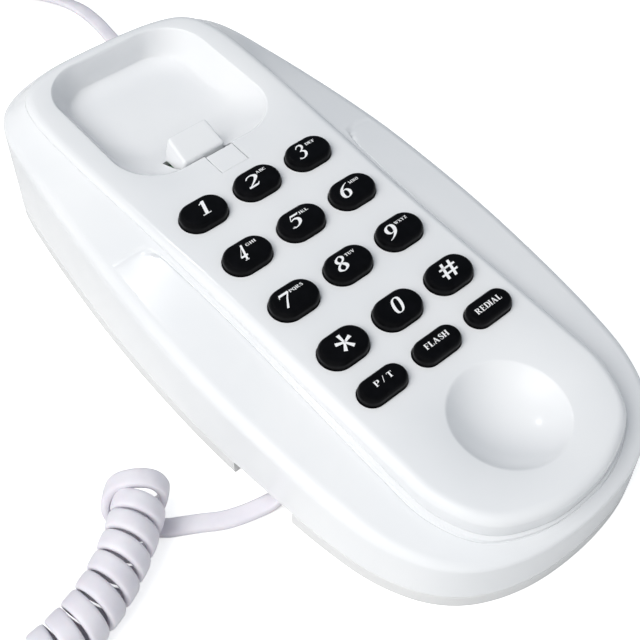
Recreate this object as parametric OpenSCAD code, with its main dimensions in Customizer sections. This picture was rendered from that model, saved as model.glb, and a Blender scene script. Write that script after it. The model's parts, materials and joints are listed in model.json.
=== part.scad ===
// Corded desk telephone: a base with the keypad and cradle, a handset lifted off and laid face down
// beside it, the curly handset cord and the flat line cord.
// Millimetres, +Z up. The origin is on the desk under the middle of the base. +Y points to the ear end.
// The deck is the face plate's sloping upper side: deck coordinates start at the "2" key.

/* [Base] */
// Length of the base along Y, at the desk
base_len = 215; // [208:1:225]
// Width of the base along X, at the desk
base_w = 104.6; // [100:0.2:112]
// Height of the seam between the lower and the upper shell
seam_h = 5; // [4.6:0.1:7]
// Width of the seam line
seam_gap = 0.15; // [0.1:0.05:0.3]
// Wall of the moulded shells
wall = 2; // [1.6:0.1:2.4]
// How far the side wall leans in between the desk and the shoulder
side_lean = 0.6; // [0.4:0.1:1.6]
// Radius of the shoulder's outer edge
edge_r = 3.2; // [2:0.1:3.6]
// Fall of the shoulder from the face plate to the outer edge, at the ear end
shoulder_fall_ear = 3.5; // [2:0.1:5]
// The same fall at the mouth end
shoulder_fall_mouth = 1.4; // [0.5:0.1:3]
// Thickness of the bottom panel
panel_t = 2; // [1.6:0.1:2.6]
// Recess of the bottom panel above the desk
panel_lift = 1.5; // [1:0.1:2]
// Height of the lip that locates the upper shell
lip_h = 2.4; // [1.5:0.1:4]
// Thickness of the locating lip
lip_t = 1.2; // [1:0.1:1.6]

/* [Face plate] */
// Slope of the deck, in degrees
deck_tilt = 3.8; // [3:0.1:4.6]
// Height of the deck above the desk at the 2 key
deck_z = 35; // [33:0.5:38]
// Place of the 2 key along Y
deck_y = 20; // [18:0.5:22]
// Length of the face plate
plate_len = 204; // [201:0.2:206]
// Width of the face plate
plate_w = 70; // [68:0.5:71]
// Thickness of the face plate
plate_t = 2.2; // [1.8:0.1:2.4]
// Step from the face plate down to the shoulder, at the ear end
step_ear = 1.4; // [1:0.1:2]
// The same step at the mouth end
step_mouth = 7.2; // [5:0.1:8.5]
// Gap round the face plate in the upper shell
plate_gap = 0.3; // [0.2:0.05:0.5]
// Width of the flange under the upper shell
plate_flange = 1.1; // [0.8:0.1:1.3]

/* [Cradle] */
// Width of the ear recess
recess_w = 53.5; // [50:0.5:55]
// Length of the ear recess
recess_l = 57.5; // [54:0.5:58.5]
// Depth of the ear recess
recess_d = 9; // [7:0.5:10]
// Corner radius of the ear recess
recess_r = 15; // [11:0.5:18]
// Middle of the ear recess, from the 2 key
recess_y = 47; // [46:0.5:47.5]
// Radius of the mouth dish at the deck
dish_r = 15.8; // [13:0.2:17]
// Depth of the mouth dish
dish_d = 6; // [4.5:0.1:7]
// Middle of the mouth dish, from the 2 key
dish_y = -98.2; // [-99:0.2:-97]

/* [Keys] */
// Spacing of the key columns
key_dx = 19; // [18.4:0.1:19.6]
// Spacing of the key rows
key_dy = 19.4; // [18.8:0.1:19.8]
// Step from the last digit row to the function row
function_dy = 14.6; // [14:0.1:15]
// Length of a key along X
key_len = 14.6; // [13.6:0.1:15]
// Width of a digit key
key_wid = 9.8; // [9:0.1:10.2]
// Width of a function key
function_wid = 7.4; // [6.8:0.1:7.8]
// Height of a key above the deck
key_h = 2.7; // [2.2:0.1:3.4]
// Chamfer round the top of a key
key_edge = 0.8; // [0.4:0.1:1.1]
// Gap round a key in its hole
key_gap = 0.25; // [0.15:0.05:0.35]
// Travel of a key
key_travel = 1.5; // [1:0.1:1.8]

/* [Hook switch] */
// Width of the plunger along X
hook_w = 15; // [13:0.5:16]
// Length of the plunger along Y
hook_l = 9.4; // [8:0.2:9.8]
// Rise of the plunger's top above the deck, at its far end
hook_rise = 3.5; // [3:0.1:4.2]
// Rise of the plunger's top at its near end
hook_near = 1; // [0.4:0.1:1.4]
// Travel of the plunger
hook_travel = 3.2; // [2.4:0.1:3.3]
// Gap round the plunger and the hanger tab
slot_gap = 0.3; // [0.2:0.05:0.45]
// Width of the hanger tab
tab_w = 9.4; // [8:0.2:10]
// Length of the hanger tab
tab_l = 7.4; // [6:0.1:7.6]

/* [Inside] */
// Thickness of the circuit board
pcb_t = 1.6; // [1.2:0.1:1.8]
// Width of the circuit board
pcb_w = 60; // [58:1:61]
// Radius of the small screws' pilot holes
pilot_r = 1; // [0.9:0.05:1.2]
// Radius of the housing screws' pilot holes
big_pilot_r = 1.5; // [1.3:0.05:1.7]
// Clearance of a screw shank in its pilot hole
shank_gap = 0.05; // [0.02:0.01:0.08]
// Thickness of the ballast plate
ballast_t = 3; // [2:0.5:4]

/* [Handset] */
// Length of the handset
handset_len = 200; // [192:1:206]
// Width of the handset
handset_w = 60; // [56:1:62]
// Height of the handset as it lies, over its bosses
handset_h = 27; // [24:0.5:30]
// Height of the ear and mouth bosses
boss_h = 5.5; // [4.5:0.1:6]
// Width of the ear boss
ear_boss_w = 42; // [38:0.5:44]
// Length of the ear boss
ear_boss_l = 42; // [38:0.5:44]
// Radius of the mouth boss
mouth_boss_r = 14.5; // [13:0.1:15]

/* [Cords] */
// Width of the flat line cord
line_w = 5; // [4.4:0.1:5.4]
// Thickness of the flat line cord
line_t = 2.4; // [2:0.1:2.4]
// Loops of the line cord in each layer of its coil
coil_loops = 6; // [4:1:6]
// Radius of the innermost loop
coil_r = 18.5; // [16:0.5:20]
// Outer diameter of the curly cord
curl_d = 14; // [12:0.5:15]
// Width of the curly cord's band
curl_w = 4.6; // [4:0.1:4.7]
// Thickness of the curly cord's band
curl_t = 2.6; // [2:0.1:2.8]
// Advance of the curly cord in one turn
curl_pitch = 5.8; // [5.7:0.1:6.4]

/* [Hidden] */
$fn = 48;
eps = 0.01;
steps = 3; // points of the outline in each span

// Half outlines, from the ear end down the +X side, as shares of half the width and half the length.
base_half = [[0, 1], [0.344, 0.99], [0.642, 0.941], [0.806, 0.842], [0.889, 0.637], [0.9665, 0.312], [1, 0.02],
  [0.994, -0.28], [0.929, -0.617], [0.83, -0.794], [0.65, -0.911], [0.363, -0.979], [0, -1]];
plate_half = [[0, 1], [0.543, 0.989], [0.863, 0.944], [0.997, 0.832], [1.014, 0.62], [0.983, 0.313], [0.943, -0.077],
  [0.929, -0.368], [0.914, -0.64], [0.886, -0.796], [0.7, -0.9216], [0.343, -0.985], [0, -1]];
handset_half = [[0, 1], [0.5, 0.985], [0.82, 0.93], [0.95, 0.8], [0.93, 0.5], [0.87, 0.15], [0.87, -0.15],
  [0.93, -0.45], [1, -0.75], [0.9, -0.92], [0.55, -0.985], [0, -1]];

function mirrored(half) = concat([for (p = half) [-p[0], p[1]]],
  [for (i = [len(half) - 2:-1:1]) half[i]]);
function blend4(a, b, c, d, t) = 0.5 * (2 * b + (c - a) * t + (2 * a - 5 * b + 4 * c - d) * t * t
  + (3 * b - a - 3 * c + d) * t * t * t);
function smooth(c) = [for (i = [0:len(c) - 1]) for (s = [0:steps - 1])
  blend4(c[(i + len(c) - 1) % len(c)], c[i], c[(i + 1) % len(c)], c[(i + 2) % len(c)], s / steps)];
function outline(half, w, l) = [for (p = smooth(mirrored(half))) [p[0] * w / 2, p[1] * l / 2]];
// A closed outline moved in by d along its own normals.
function inset(p, d) = [for (i = [0:len(p) - 1])
  let (a = p[(i + len(p) - 1) % len(p)], b = p[(i + 1) % len(p)], t = (b - a) / norm(b - a))
  p[i] + d * [-t[1], t[0]]];
function rounded(w, l, r, n = 9) = [for (q = [0:3]) for (i = [0:n]) let (a = 90 * q + 90 * i / n)
  [(q == 0 || q == 3 ? 1 : -1) * (w / 2 - r) + r * cos(a), (q < 2 ? 1 : -1) * (l / 2 - r) + r * sin(a)]];

base_out = outline(base_half, base_w, base_len);
slim_from = -70; // where the shoulder starts to narrow towards the mouth end
slim_end = 0.4; // its share left there
function slim(y) = max(slim_end, min(1, 1 - (slim_from - y) * (1 - slim_end) / (base_len / 2 + slim_from)));
// The outer outline moved in by d, and by less towards the mouth end.
function wall_line(d, fixed = 0) = let (p = base_out) [for (i = [0:len(p) - 1])
  let (a = p[(i + len(p) - 1) % len(p)], b = p[(i + 1) % len(p)], t = (b - a) / norm(b - a))
  p[i] + (d * slim(p[i][1]) + fixed) * [-t[1], t[0]]];
plate_mid = -22; // middle of the face plate from the 2 key
plate_out = [for (p = outline(plate_half, plate_w, plate_len)) p + [0, plate_mid]];
handset_out = outline(handset_half, handset_w, handset_len);

// Deck point to the part's frame, and the heights that follow the deck.
function on_deck(p) = [p[0], deck_y + p[1] * cos(deck_tilt) - p[2] * sin(deck_tilt),
  deck_z + p[1] * sin(deck_tilt) + p[2] * cos(deck_tilt)];
step_run = 129; // length over which the step shrinks, from the mouth end
function step_at(y) = max(step_ear, step_mouth - (y + base_len / 2) * (step_mouth - step_ear) / step_run);
function fall_at(y) = shoulder_fall_mouth
  + (shoulder_fall_ear - shoulder_fall_mouth) * (y + base_len / 2) / base_len;
function shoulder_z(y) = deck_z + (y - deck_y) * tan(deck_tilt) - step_at(y) - fall_at(y);
module deck() { translate([0, deck_y, deck_z]) rotate([deck_tilt, 0, 0]) children(); }

// ---- Builders ----
// A closed skin through rings of equal count, each anticlockwise from above, capped at both ends.
module skin(rings) {
  n = len(rings[0]);
  m = len(rings);
  low = [for (k = [0:2]) [for (p = rings[0]) p[k]] * [for (p = rings[0]) 1 / n]];
  top = [for (k = [0:2]) [for (p = rings[m - 1]) p[k]] * [for (p = rings[0]) 1 / n]];
  polyhedron(concat([for (r = rings) each r], [low, top]), concat(
    [for (k = [0:m - 2]) for (i = [0:n - 1]) let (j = (i + 1) % n) each
      [[k * n + i, (k + 1) * n + i, (k + 1) * n + j], [k * n + i, (k + 1) * n + j, k * n + j]]],
    [for (i = [0:n - 1]) [m * n, i, (i + 1) % n]],
    [for (i = [0:n - 1]) [m * n + 1, (m - 1) * n + (i + 1) % n, (m - 1) * n + i]]));
}
// The same round an opening: the last ring joins the first.
module belt(rings) {
  n = len(rings[0]);
  m = len(rings);
  polyhedron([for (r = rings) each r],
    [for (k = [0:m - 1]) for (i = [0:n - 1]) let (j = (i + 1) % n, u = (k + 1) % m) each
      [[k * n + i, u * n + i, u * n + j], [k * n + i, u * n + j, k * n + j]]]);
}
function flat(p, z) = [for (q = p) [q[0], q[1], z]];
module ring2d(p, d, t) { difference() { polygon(inset(p, d)); polygon(inset(p, d + t)); } }
module pill(l, w, h) {
  linear_extrude(h) {
    square([l - w, w], center = true);
    for (s = [-1, 1]) translate([s * (l - w) / 2, 0]) circle(d = w);
  }
}
module box(x0, x1, y0, y1, z0, z1) { translate([x0, y0, z0]) cube([x1 - x0, y1 - y0, z1 - z0]); }
module rod(x, y, z0, z1, r) { translate([x, y, z0]) cylinder(r = r, h = z1 - z0); }
module rounded_box(w, l, r, z0, z1) {
  box(-w / 2 + r, w / 2 - r, -l / 2, l / 2, z0, z1);
  box(-w / 2, w / 2, -l / 2 + r, l / 2 - r, z0, z1);
  for (x = [-1, 1]) for (y = [-1, 1]) rod(x * (w / 2 - r), y * (l / 2 - r), z0, z1, r);
}

// A tube swept along points: section sizes across (w) and through (t), sides, and the across direction.
function path_dir(p, i) = let (a = p[max(i - 1, 0)], b = p[min(i + 1, len(p) - 1)]) (b - a) / norm(b - a);
function unit(v) = v / norm(v);
function section(w, t, sides) = sides == 6
  ? [[w / 2, 0], [0.3 * w, t / 2], [-0.3 * w, t / 2], [-w / 2, 0], [-0.3 * w, -t / 2], [0.3 * w, -t / 2]]
  : [for (k = [0:sides - 1]) let (c = cos(360 * k / sides), s = sin(360 * k / sides))
      [w / 2 * sign(c) * pow(abs(c), 0.6), t / 2 * sign(s) * pow(abs(s), 0.6)]];
function swept(p, across, w, t, sides) = [for (i = [0:len(p) - 1])
  let (d = path_dir(p, i), a = unit(across[i] - (across[i] * d) * d), b = cross(d, a))
  [for (q = section(w, t, sides)) p[i] + q[0] * a + q[1] * b]];
module tube(rings) {
  n = len(rings[0]);
  m = len(rings);
  polyhedron([for (r = rings) each r], concat(
    [for (k = [0:m - 2]) for (i = [0:n - 1]) let (j = (i + 1) % n) each
      [[k * n + i, (k + 1) * n + i, (k + 1) * n + j], [k * n + i, (k + 1) * n + j, k * n + j]]],
    [for (i = [1:n - 2]) [0, i, i + 1]],
    [for (i = [1:n - 2]) [(m - 1) * n, (m - 1) * n + i + 1, (m - 1) * n + i]]));
}
// Route points joined by one smooth curve, cuts pieces to a span.
function curve(p, cuts) = concat([for (i = [0:len(p) - 2]) for (s = [0:cuts - 1])
  blend4(p[max(i - 1, 0)], p[i], p[i + 1], p[min(i + 2, len(p) - 1)], s / cuts)], [p[len(p) - 1]]);
function level(n) = [for (i = [0:n - 1]) [0, 0, 1]];
// Flat cord on a route: lying flat, its width is across the route and level.
module flat_cord(p, w, t) {
  side = [for (i = [0:len(p) - 1]) unit(cross([0, 0, 1], path_dir(p, i)))];
  tube(swept(p, side, w, t, 8));
}
module wire(p, d) { tube(swept(p, level(len(p)), d, d, 8)); }

// ---- Shells of the base ----
notch_y0 = -54; // cord notch in the left wall
notch_y1 = -32.5;
jack_y = -47; // handset cord jack, in the notch
jack_face_x = 15.3 - base_w / 2;
plug_h = 6; // modular plug
plug_l = 12;
handset_plug_w = 7.6;
line_plug_w = 9.6;
plug_gap = 0.15;
jack_wall = 1.2;
jack_len = 13;
pocket_top = 10.6;
plug_z = 5.3;
line_x = 27;
line_z = 9.2;
line_face_y = base_len / 2 - 14.5;
boss_r = 3.2;
boss_at = [for (s = [1, -1]) each [[s * (base_w / 2 - 9.3), 20],
  [s * (base_w / 2 - 12.3), 39.5 - base_len / 2]]];
housing_screw_top = 15;
head_r = 2.8;
head_h = 1.8;
shell_head_z = 0.8;
pad_at = [for (s = [1, -1]) each [[s * (base_w / 2 - 12.3), base_len / 2 - 49.5],
  [s * (base_w / 2 - 22.3), 23.5 - base_len / 2]]];
pad_r = 5;
keyhole_at = [48, -42]; // stations along Y of the two wall-hanging keyholes
keyhole_r = 3.6;
keyhole_slot_r = 1.8;
keyhole_run = 7;
ringer_y = 29.5 - base_len / 2;
ringer_r = 12;
ringer_h = 5;
panel_z = panel_lift + panel_t;
lean_at_seam = side_lean * seam_h / 32;

module pocket(grow) {
  box(3.1 - base_w / 2 - grow, jack_face_x + jack_len + plug_gap + grow, notch_y0 - grow, notch_y1 + grow,
    panel_lift, pocket_top + grow);
}
module lower_shell() color("whitesmoke") {
  difference() {
    union() {
      linear_extrude(seam_h - seam_gap) ring2d(base_out, 0, wall);
      translate([0, 0, panel_lift]) linear_extrude(panel_t) polygon(inset(base_out, wall - 0.4));
      difference() {
        translate([0, 0, panel_lift]) linear_extrude(seam_h + lip_h - panel_lift)
          ring2d(base_out, side_lean * 0.3 + wall + plate_gap, lip_t);
        // the lip stops at the line jack
        box(line_x - 9, line_x + 9, line_face_y - 13, base_len / 2 + 4, panel_z, seam_h + lip_h + 1);
      }
      intersection() {
        pocket(1.6);
        translate([0, 0, panel_lift]) linear_extrude(20) polygon(inset(base_out, wall + 1.5));
      }
      for (p = boss_at) rod(p[0], p[1], panel_lift, seam_h, boss_r + 1);
      for (s = [-1, 1]) {
        rod(s * 19, 8, panel_z - eps, panel_z + ballast_t, 2);
        box(s * 9.5 - 1, s * 9.5 + 1, ringer_y - 14.5, ringer_y - 12.3, panel_z - eps, panel_z + ringer_h);
        box(s * 9.5 - 1, s * 9.5 + 1, ringer_y + 12.3, ringer_y + 14.5, panel_z - eps, panel_z + ringer_h);
        box(line_x + s * 8.15 - 0.75, line_x + s * 8.15 + 0.75, line_face_y - 13, line_face_y - 3,
          panel_z - eps, 12);
      }
    }
    // cord notch and the pocket behind it, open below so that the cord can be laid in
    box(-base_w, 5.3 - base_w / 2, notch_y0, notch_y1, -1, seam_h);
    box(2.7 - base_w / 2, jack_face_x + jack_len + plug_gap, notch_y0, notch_y1, -1, pocket_top);
    box(-base_w, 3.3 - base_w / 2, notch_y0, notch_y1, seam_h - 1, seam_h + lip_h + 1);
    for (p = boss_at) {
      rod(p[0], p[1], -1, shell_head_z + head_h + 0.1, head_r + 0.3);
      rod(p[0], p[1], 0, seam_h + 1, big_pilot_r + 0.3);
    }
    for (p = pad_at) rod(p[0], p[1], -1, panel_lift + 0.6, pad_r + 0.1);
    for (y = keyhole_at) {
      rod(0, y, 0, panel_z + 1, keyhole_r);
      rod(0, y + keyhole_run, 0, panel_z + 1, keyhole_slot_r);
      box(-keyhole_slot_r, keyhole_slot_r, y, y + keyhole_run, 0, panel_z + 1);
    }
    // way for the wires out of the pocket
    box(jack_face_x + jack_len, jack_face_x + jack_len + 3, jack_y - 1.2, jack_y + 1.2, 4.8, 7.6);
    for (a = [0:60:300]) rod(5 * cos(a), ringer_y + 5 * sin(a), 0, panel_z + 1, 0.9);
    rod(0, ringer_y, 0, panel_z + 1, 0.9);
  }
}

opening = inset(plate_out, -plate_gap);
module upper_shell() color("white") {
  foot = wall_line(lean_at_seam);
  side = wall_line(side_lean);
  bevel = wall_line(side_lean + 0.29 * edge_r);
  brow = wall_line(side_lean + edge_r);
  under_brow = wall_line(side_lean + edge_r, 0.3);
  under_wall = wall_line(side_lean, wall + 0.3);
  under = [for (i = [0:len(brow) - 1]) slim(brow[i][1]) * edge_r > wall ? under_brow[i] : under_wall[i]];
  inner = wall_line(side_lean, wall);
  inner_foot = wall_line(lean_at_seam, wall);
  difference() {
    union() {
      belt([
        flat(foot, seam_h),
        [for (p = side) [p[0], p[1], shoulder_z(p[1]) - edge_r * slim(p[1])]],
        [for (p = bevel) [p[0], p[1], shoulder_z(p[1]) - 0.29 * edge_r * slim(p[1])]],
        [for (p = brow) [p[0], p[1], shoulder_z(p[1])]],
        [for (p = opening) on_deck([p[0], p[1], -step_at(p[1] + deck_y)])],
        [for (p = opening) on_deck([p[0], p[1], -step_at(p[1] + deck_y) - wall])],
        [for (p = under) [p[0], p[1], shoulder_z(p[1]) - wall]],
        [for (p = inner) [p[0], p[1], shoulder_z(p[1]) - max(edge_r * slim(p[1]), wall) - 0.6]],
        flat(inner_foot, seam_h)
      ]);
      for (p = boss_at) rod(p[0], p[1], seam_h + 0.3, shoulder_z(p[1]) - 0.8, boss_r);
    }
    for (p = boss_at) rod(p[0], p[1], seam_h, housing_screw_top + 3, big_pilot_r);
    box(line_x - 6, line_x + 6, line_face_y - 8, base_len / 2 + 8, seam_h - 1, line_z + plug_h / 2 + 0.6);
  }
}

// ---- Face plate ----
key_rows = [0, -key_dy, -2 * key_dy, -3 * key_dy, -3 * key_dy - function_dy];
key_flange_t = 1.2;
key_flange_lip = 0.8;
key_flange_z = -plate_t - 0.1;
stem_r = 2.5;
board_z = -8.6; // upper face of the circuit board
stem_z = board_z + 1.3 + key_travel; // the pressed stem stops short of the membrane
board_boss = [[27, -key_dy / 2], [-27, -key_dy / 2], [27, -2.5 * key_dy], [-27, -2.5 * key_dy]];
hook_x = -4.4;
hook_y = 23.6;
hook_foot_z = board_z + 0.8 + hook_travel;
tab_x = 0.05;
tab_y = 13.9;
dish_ball = (dish_r * dish_r + dish_d * dish_d) / (2 * dish_d);
flange_drop = wall + 1.5; // from the shoulder's upper face to the flange
flange_t = 1.6;

// Rings of the recess: width, length, corner radius, middle and depth at each level.
function recess_level(k, grow) = let (
    w = recess_w - [0, 3, 9, 14][k] + 2 * grow,
    l = recess_l - [0, 4, 16, 28][k] + 2 * grow,
    r = recess_r - [0, 1, 3, 5][k] + grow,
    y = recess_y + [0, 1, 7, 11][k],
    z = -recess_d * [0, 0.17, 0.72, 1][k])
  [for (p = rounded(w, l, r)) [p[0], p[1] + y, z]];
module recess_cavity() {
  skin([recess_level(3, 0), recess_level(2, 0), recess_level(1, 0), recess_level(0, 0),
    [for (p = recess_level(0, 0)) p + [0, 0, 2]]]);
}
bowl_t = 2; // wall of the bowl under the recess
module recess_bowl() {
  drop = [1.1, 1.2, 1.5, plate_t];
  skin([for (k = [3:-1:0]) [for (p = recess_level(k, bowl_t)) p - [0, 0, drop[k]]]]);
}
module face_plate() color("white") deck() {
  n = len(plate_out) - 1;
  skirt = inset(plate_out, wall);
  flange_z = [for (p = plate_out) -step_at(p[1] + deck_y) - flange_drop];
  at_gap = inset(plate_out, -plate_gap);
  at_flange = inset(plate_out, -plate_flange);
  share = [for (p = plate_out) (slim(p[1] + deck_y) - slim_end) / (1 - slim_end)];
  out = [for (i = [0:n]) at_gap[i] * (1 - share[i]) + at_flange[i] * share[i]];
  difference() {
    union() {
      skin([
        flat(inset(plate_out, wall + 0.4), -plate_t),
        [for (i = [0:n]) [skirt[i][0], skirt[i][1], flange_z[i] - flange_t]],
        [for (i = [0:n]) [out[i][0], out[i][1], flange_z[i] - flange_t]],
        [for (i = [0:n]) [out[i][0], out[i][1], flange_z[i]]],
        [for (i = [0:n]) [plate_out[i][0], plate_out[i][1], flange_z[i]]],
        [for (i = [0:n]) [plate_out[i][0], plate_out[i][1], max(flange_z[i] + 1, -2.6)]],
        flat(inset(plate_out, 0.6), -1.1),
        flat(inset(plate_out, 1.7), -0.25),
        flat(inset(plate_out, 3), 0)
      ]);
      recess_bowl();
      intersection() {
        translate([0, dish_y, dish_ball - dish_d]) sphere(r = dish_ball + wall, $fn = 96);
        rod(0, dish_y, -dish_d - wall - 1, -plate_t / 2, dish_r + 4);
      }
      for (p = board_boss) rod(p[0], p[1], board_z, -plate_t / 2, 2.6);
    }
    recess_cavity();
    translate([0, dish_y, dish_ball - dish_d]) sphere(r = dish_ball, $fn = 96);
    for (r = [0:4]) for (c = [-1:1]) translate([c * key_dx, key_rows[r], -plate_t - 1])
      pill(key_len + 2 * key_gap, (r == 4 ? function_wid : key_wid) + 2 * key_gap, plate_t + 2);
    box(hook_x - hook_w / 2 - slot_gap, hook_x + hook_w / 2 + slot_gap,
      hook_y - hook_l / 2 - slot_gap, hook_y + hook_l / 2 + slot_gap, -12, 1);
    box(tab_x - tab_w / 2 - slot_gap, tab_x + tab_w / 2 + slot_gap,
      tab_y - tab_l / 2 - slot_gap, tab_y + tab_l / 2 + slot_gap, -8, 1);
    for (p = board_boss) rod(p[0], p[1], board_z - 1, -plate_t, pilot_r);
  }
}

// ---- Keys ----
module key(col, row) {
  wid = row == 4 ? function_wid : key_wid;
  straight = key_len - wid;
  color([0.07, 0.07, 0.08]) deck() translate([col * key_dx, key_rows[row], 0]) {
    translate([0, 0, key_flange_z - key_flange_t])
      pill(key_len + 2 * key_flange_lip, wid + 2 * key_flange_lip, key_flange_t);
    translate([0, 0, key_flange_z - eps]) pill(key_len, wid, key_h - key_edge - key_flange_z + eps);
    translate([0, 0, key_h - key_edge]) {
      for (s = [-1, 1]) translate([s * straight / 2, 0, 0])
        cylinder(r1 = wid / 2, r2 = wid / 2 - key_edge, h = key_edge);
      translate([-straight / 2, 0, 0]) rotate([90, 0, 90]) linear_extrude(straight)
        polygon([[-wid / 2, 0], [wid / 2, 0], [wid / 2 - key_edge, key_edge],
          [key_edge - wid / 2, key_edge]]);
    }
    rod(0, 0, stem_z, key_flange_z - key_flange_t + eps, stem_r);
  }
}

module keypad_membrane() color("gainsboro") deck() {
  difference() {
    union() {
      box(-24, 24, key_rows[4] - 6, 6.5, board_z, board_z + 1);
      for (r = key_rows) for (c = [-1:1]) rod(c * key_dx, r, board_z, -5.4, stem_r + 1.4);
    }
    for (r = key_rows) for (c = [-1:1]) rod(c * key_dx, r, board_z + 1, -5, stem_r + 0.5);
  }
}

// ---- Circuit board ----
module main_board() color("darkgreen") deck() {
  difference() {
    union() {
      box(-pcb_w / 2, pcb_w / 2, key_rows[4] - 6.5, 7.5, board_z - pcb_t, board_z);
      box(-16, 8, 7, 30, board_z - pcb_t, board_z);
    }
    for (p = board_boss) rod(p[0], p[1], board_z - 4, board_z + 1, pilot_r + 0.3);
  }
}
module board_screws() color("silver") deck() {
  for (p = board_boss) {
    rod(p[0], p[1], board_z - pcb_t - 1.6, board_z - pcb_t, 2.2);
    rod(p[0], p[1], board_z - pcb_t - 0.5, board_z + 4.5, pilot_r - shank_gap);
  }
}
module board_components() color("dimgray") deck() {
  under = board_z - pcb_t;
  box(-12, -2, -30, -12, under - 3.4, under);
  box(6, 16, -34, -28, under - 2.4, under);
  box(-20, -14, -62, -46, under - 3, under);
  for (x = [6, 14]) rod(x, -52, under - 8, under, 3);
  for (x = [-4, 2]) rod(x, -68, under - 6, under, 2);
  box(8, 20, -18, -6, under - 7, under);
}

// ---- Hook switch ----
module hook_plunger() color("white") deck() {
  x0 = hook_x - hook_w / 2;
  y0 = hook_y - hook_l / 2;
  difference() {
    union() {
      translate([x0, 0, 0]) rotate([90, 0, 90]) linear_extrude(hook_w)
        polygon([[y0, hook_foot_z], [y0 + hook_l, hook_foot_z], [y0 + hook_l, hook_rise], [y0, hook_near]]);
      box(x0 + 0.5, x0 + 3.5, y0 - 1.6, y0 + eps, hook_foot_z, -plate_t - 0.9);
    }
    rod(hook_x, hook_y, hook_foot_z - 1, -1, 2.7);
  }
}
module hook_spring() color("silver") deck() {
  difference() {
    rod(hook_x, hook_y, board_z, -1, 2.4);
    rod(hook_x, hook_y, board_z - 1, 0, 1.8);
  }
}
module hook_contacts() color("goldenrod") deck() {
  for (s = [-1, 1]) box(hook_x + s * 4.5 - 1, hook_x + s * 4.5 + 1, 10, 25, board_z, board_z + 0.4);
}
module hanger_tab() color("white") deck() {
  box(tab_x - tab_w / 2, tab_x + tab_w / 2, tab_y - tab_l / 2, tab_y + tab_l / 2, -plate_t, 0);
  box(tab_x - tab_w / 2, tab_x + tab_w / 2, tab_y - 1, tab_y + 1, -6.4, -plate_t + eps);
}

// ---- Small parts of the base ----
module rubber_pads() color("dimgray") for (p = pad_at) rod(p[0], p[1], 0, panel_lift + 0.6, pad_r);
module housing_screws() color("silver") for (p = boss_at) {
  rod(p[0], p[1], shell_head_z, shell_head_z + head_h, head_r);
  rod(p[0], p[1], shell_head_z + head_h - eps, housing_screw_top, big_pilot_r - shank_gap);
}
module ballast_plate() color("slategray") difference() {
  box(-24, 24, -24, 40, panel_z, panel_z + ballast_t);
  for (s = [-1, 1]) rod(s * 19, 8, panel_z - 1, panel_z + ballast_t + 1, 2.2);
}
module ringer() color("black") difference() {
  rod(0, ringer_y, panel_z, panel_z + ringer_h, ringer_r);
  rod(0, ringer_y, panel_z - 1, panel_z + 1.5, 7);
}

module jack(w, len) {
  // a modular jack that opens towards -Y, its mouth at y = 0 and its plug's axis at z = 0
  difference() {
    box(-w / 2 - plug_gap - jack_wall, w / 2 + plug_gap + jack_wall, 0, len,
      -plug_h / 2 - plug_gap - jack_wall, plug_h / 2 + plug_gap + jack_wall);
    box(-w / 2 - plug_gap, w / 2 + plug_gap, -1, plug_l - 3 + plug_gap, -plug_h / 2 - plug_gap,
      plug_h / 2 + plug_gap);
  }
}
module plug(w) {
  // a modular plug along +Y into its jack, its cord end 3 mm outside the jack's mouth
  box(-w / 2, w / 2, -3, plug_l - 3, -plug_h / 2 + 0.8, plug_h / 2);
  box(-1.6, 1.6, -2.4, plug_l - 4, -plug_h / 2, -plug_h / 2 + 0.8 + eps);
}
module at_base_jack() { translate([jack_face_x, jack_y, plug_z]) rotate([0, 0, -90]) children(); }
module at_line_jack() { translate([line_x, line_face_y, line_z]) rotate([0, 0, 180]) children(); }
module handset_jack() color("black") at_base_jack() jack(handset_plug_w, jack_len);
module base_cord_plug() color("lightgray") at_base_jack() plug(handset_plug_w);
module line_jack() color("black") {
  at_line_jack() jack(line_plug_w, jack_len);
  box(line_x - 5, line_x + 5, line_face_y - jack_len, line_face_y - 2, panel_z,
    line_z - plug_h / 2 - jack_wall);
}
module line_plug() color("lightgray") at_line_jack() plug(line_plug_w);

wire_d = 1.6;
board_under = board_z - pcb_t;
// Each wire leaves its jack or ringer along dir and meets the underside of the board square to it.
module board_wire(from, dir, route, pad) {
  wire(concat([from, from + 1.5 * dir], curve(route, 3),
    [on_deck([pad[0], pad[1], board_under - 1.5]), on_deck([pad[0], pad[1], board_under])]), wire_d);
}
module handset_jack_wires() color("crimson")
  board_wire([jack_face_x + jack_len, jack_y, 6], [1, 0, 0], [[jack_face_x + 17, -47, 7],
    [jack_face_x + 21, -46, 10], [jack_face_x + 24, -44.6, 14]], [-12, -64]);
module line_jack_wires() color("seagreen")
  board_wire([line_x, line_face_y - jack_len, 9.5], [0, -1, 0],
    [[line_x, line_face_y - 19, 9.5], [24, line_face_y - 31, 10], [18, 44, 12], [12, 30, 16], [10, 22, 20]],
    [10, 0]);
module ringer_wires() color("gold")
  board_wire([0, ringer_y + ringer_r, 6.5], [0, 1, 0], [[0, ringer_y + 16, 6.8], [-2, ringer_y + 21, 9],
    [-6, ringer_y + 27, 13]], [-8, -67]);

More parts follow.
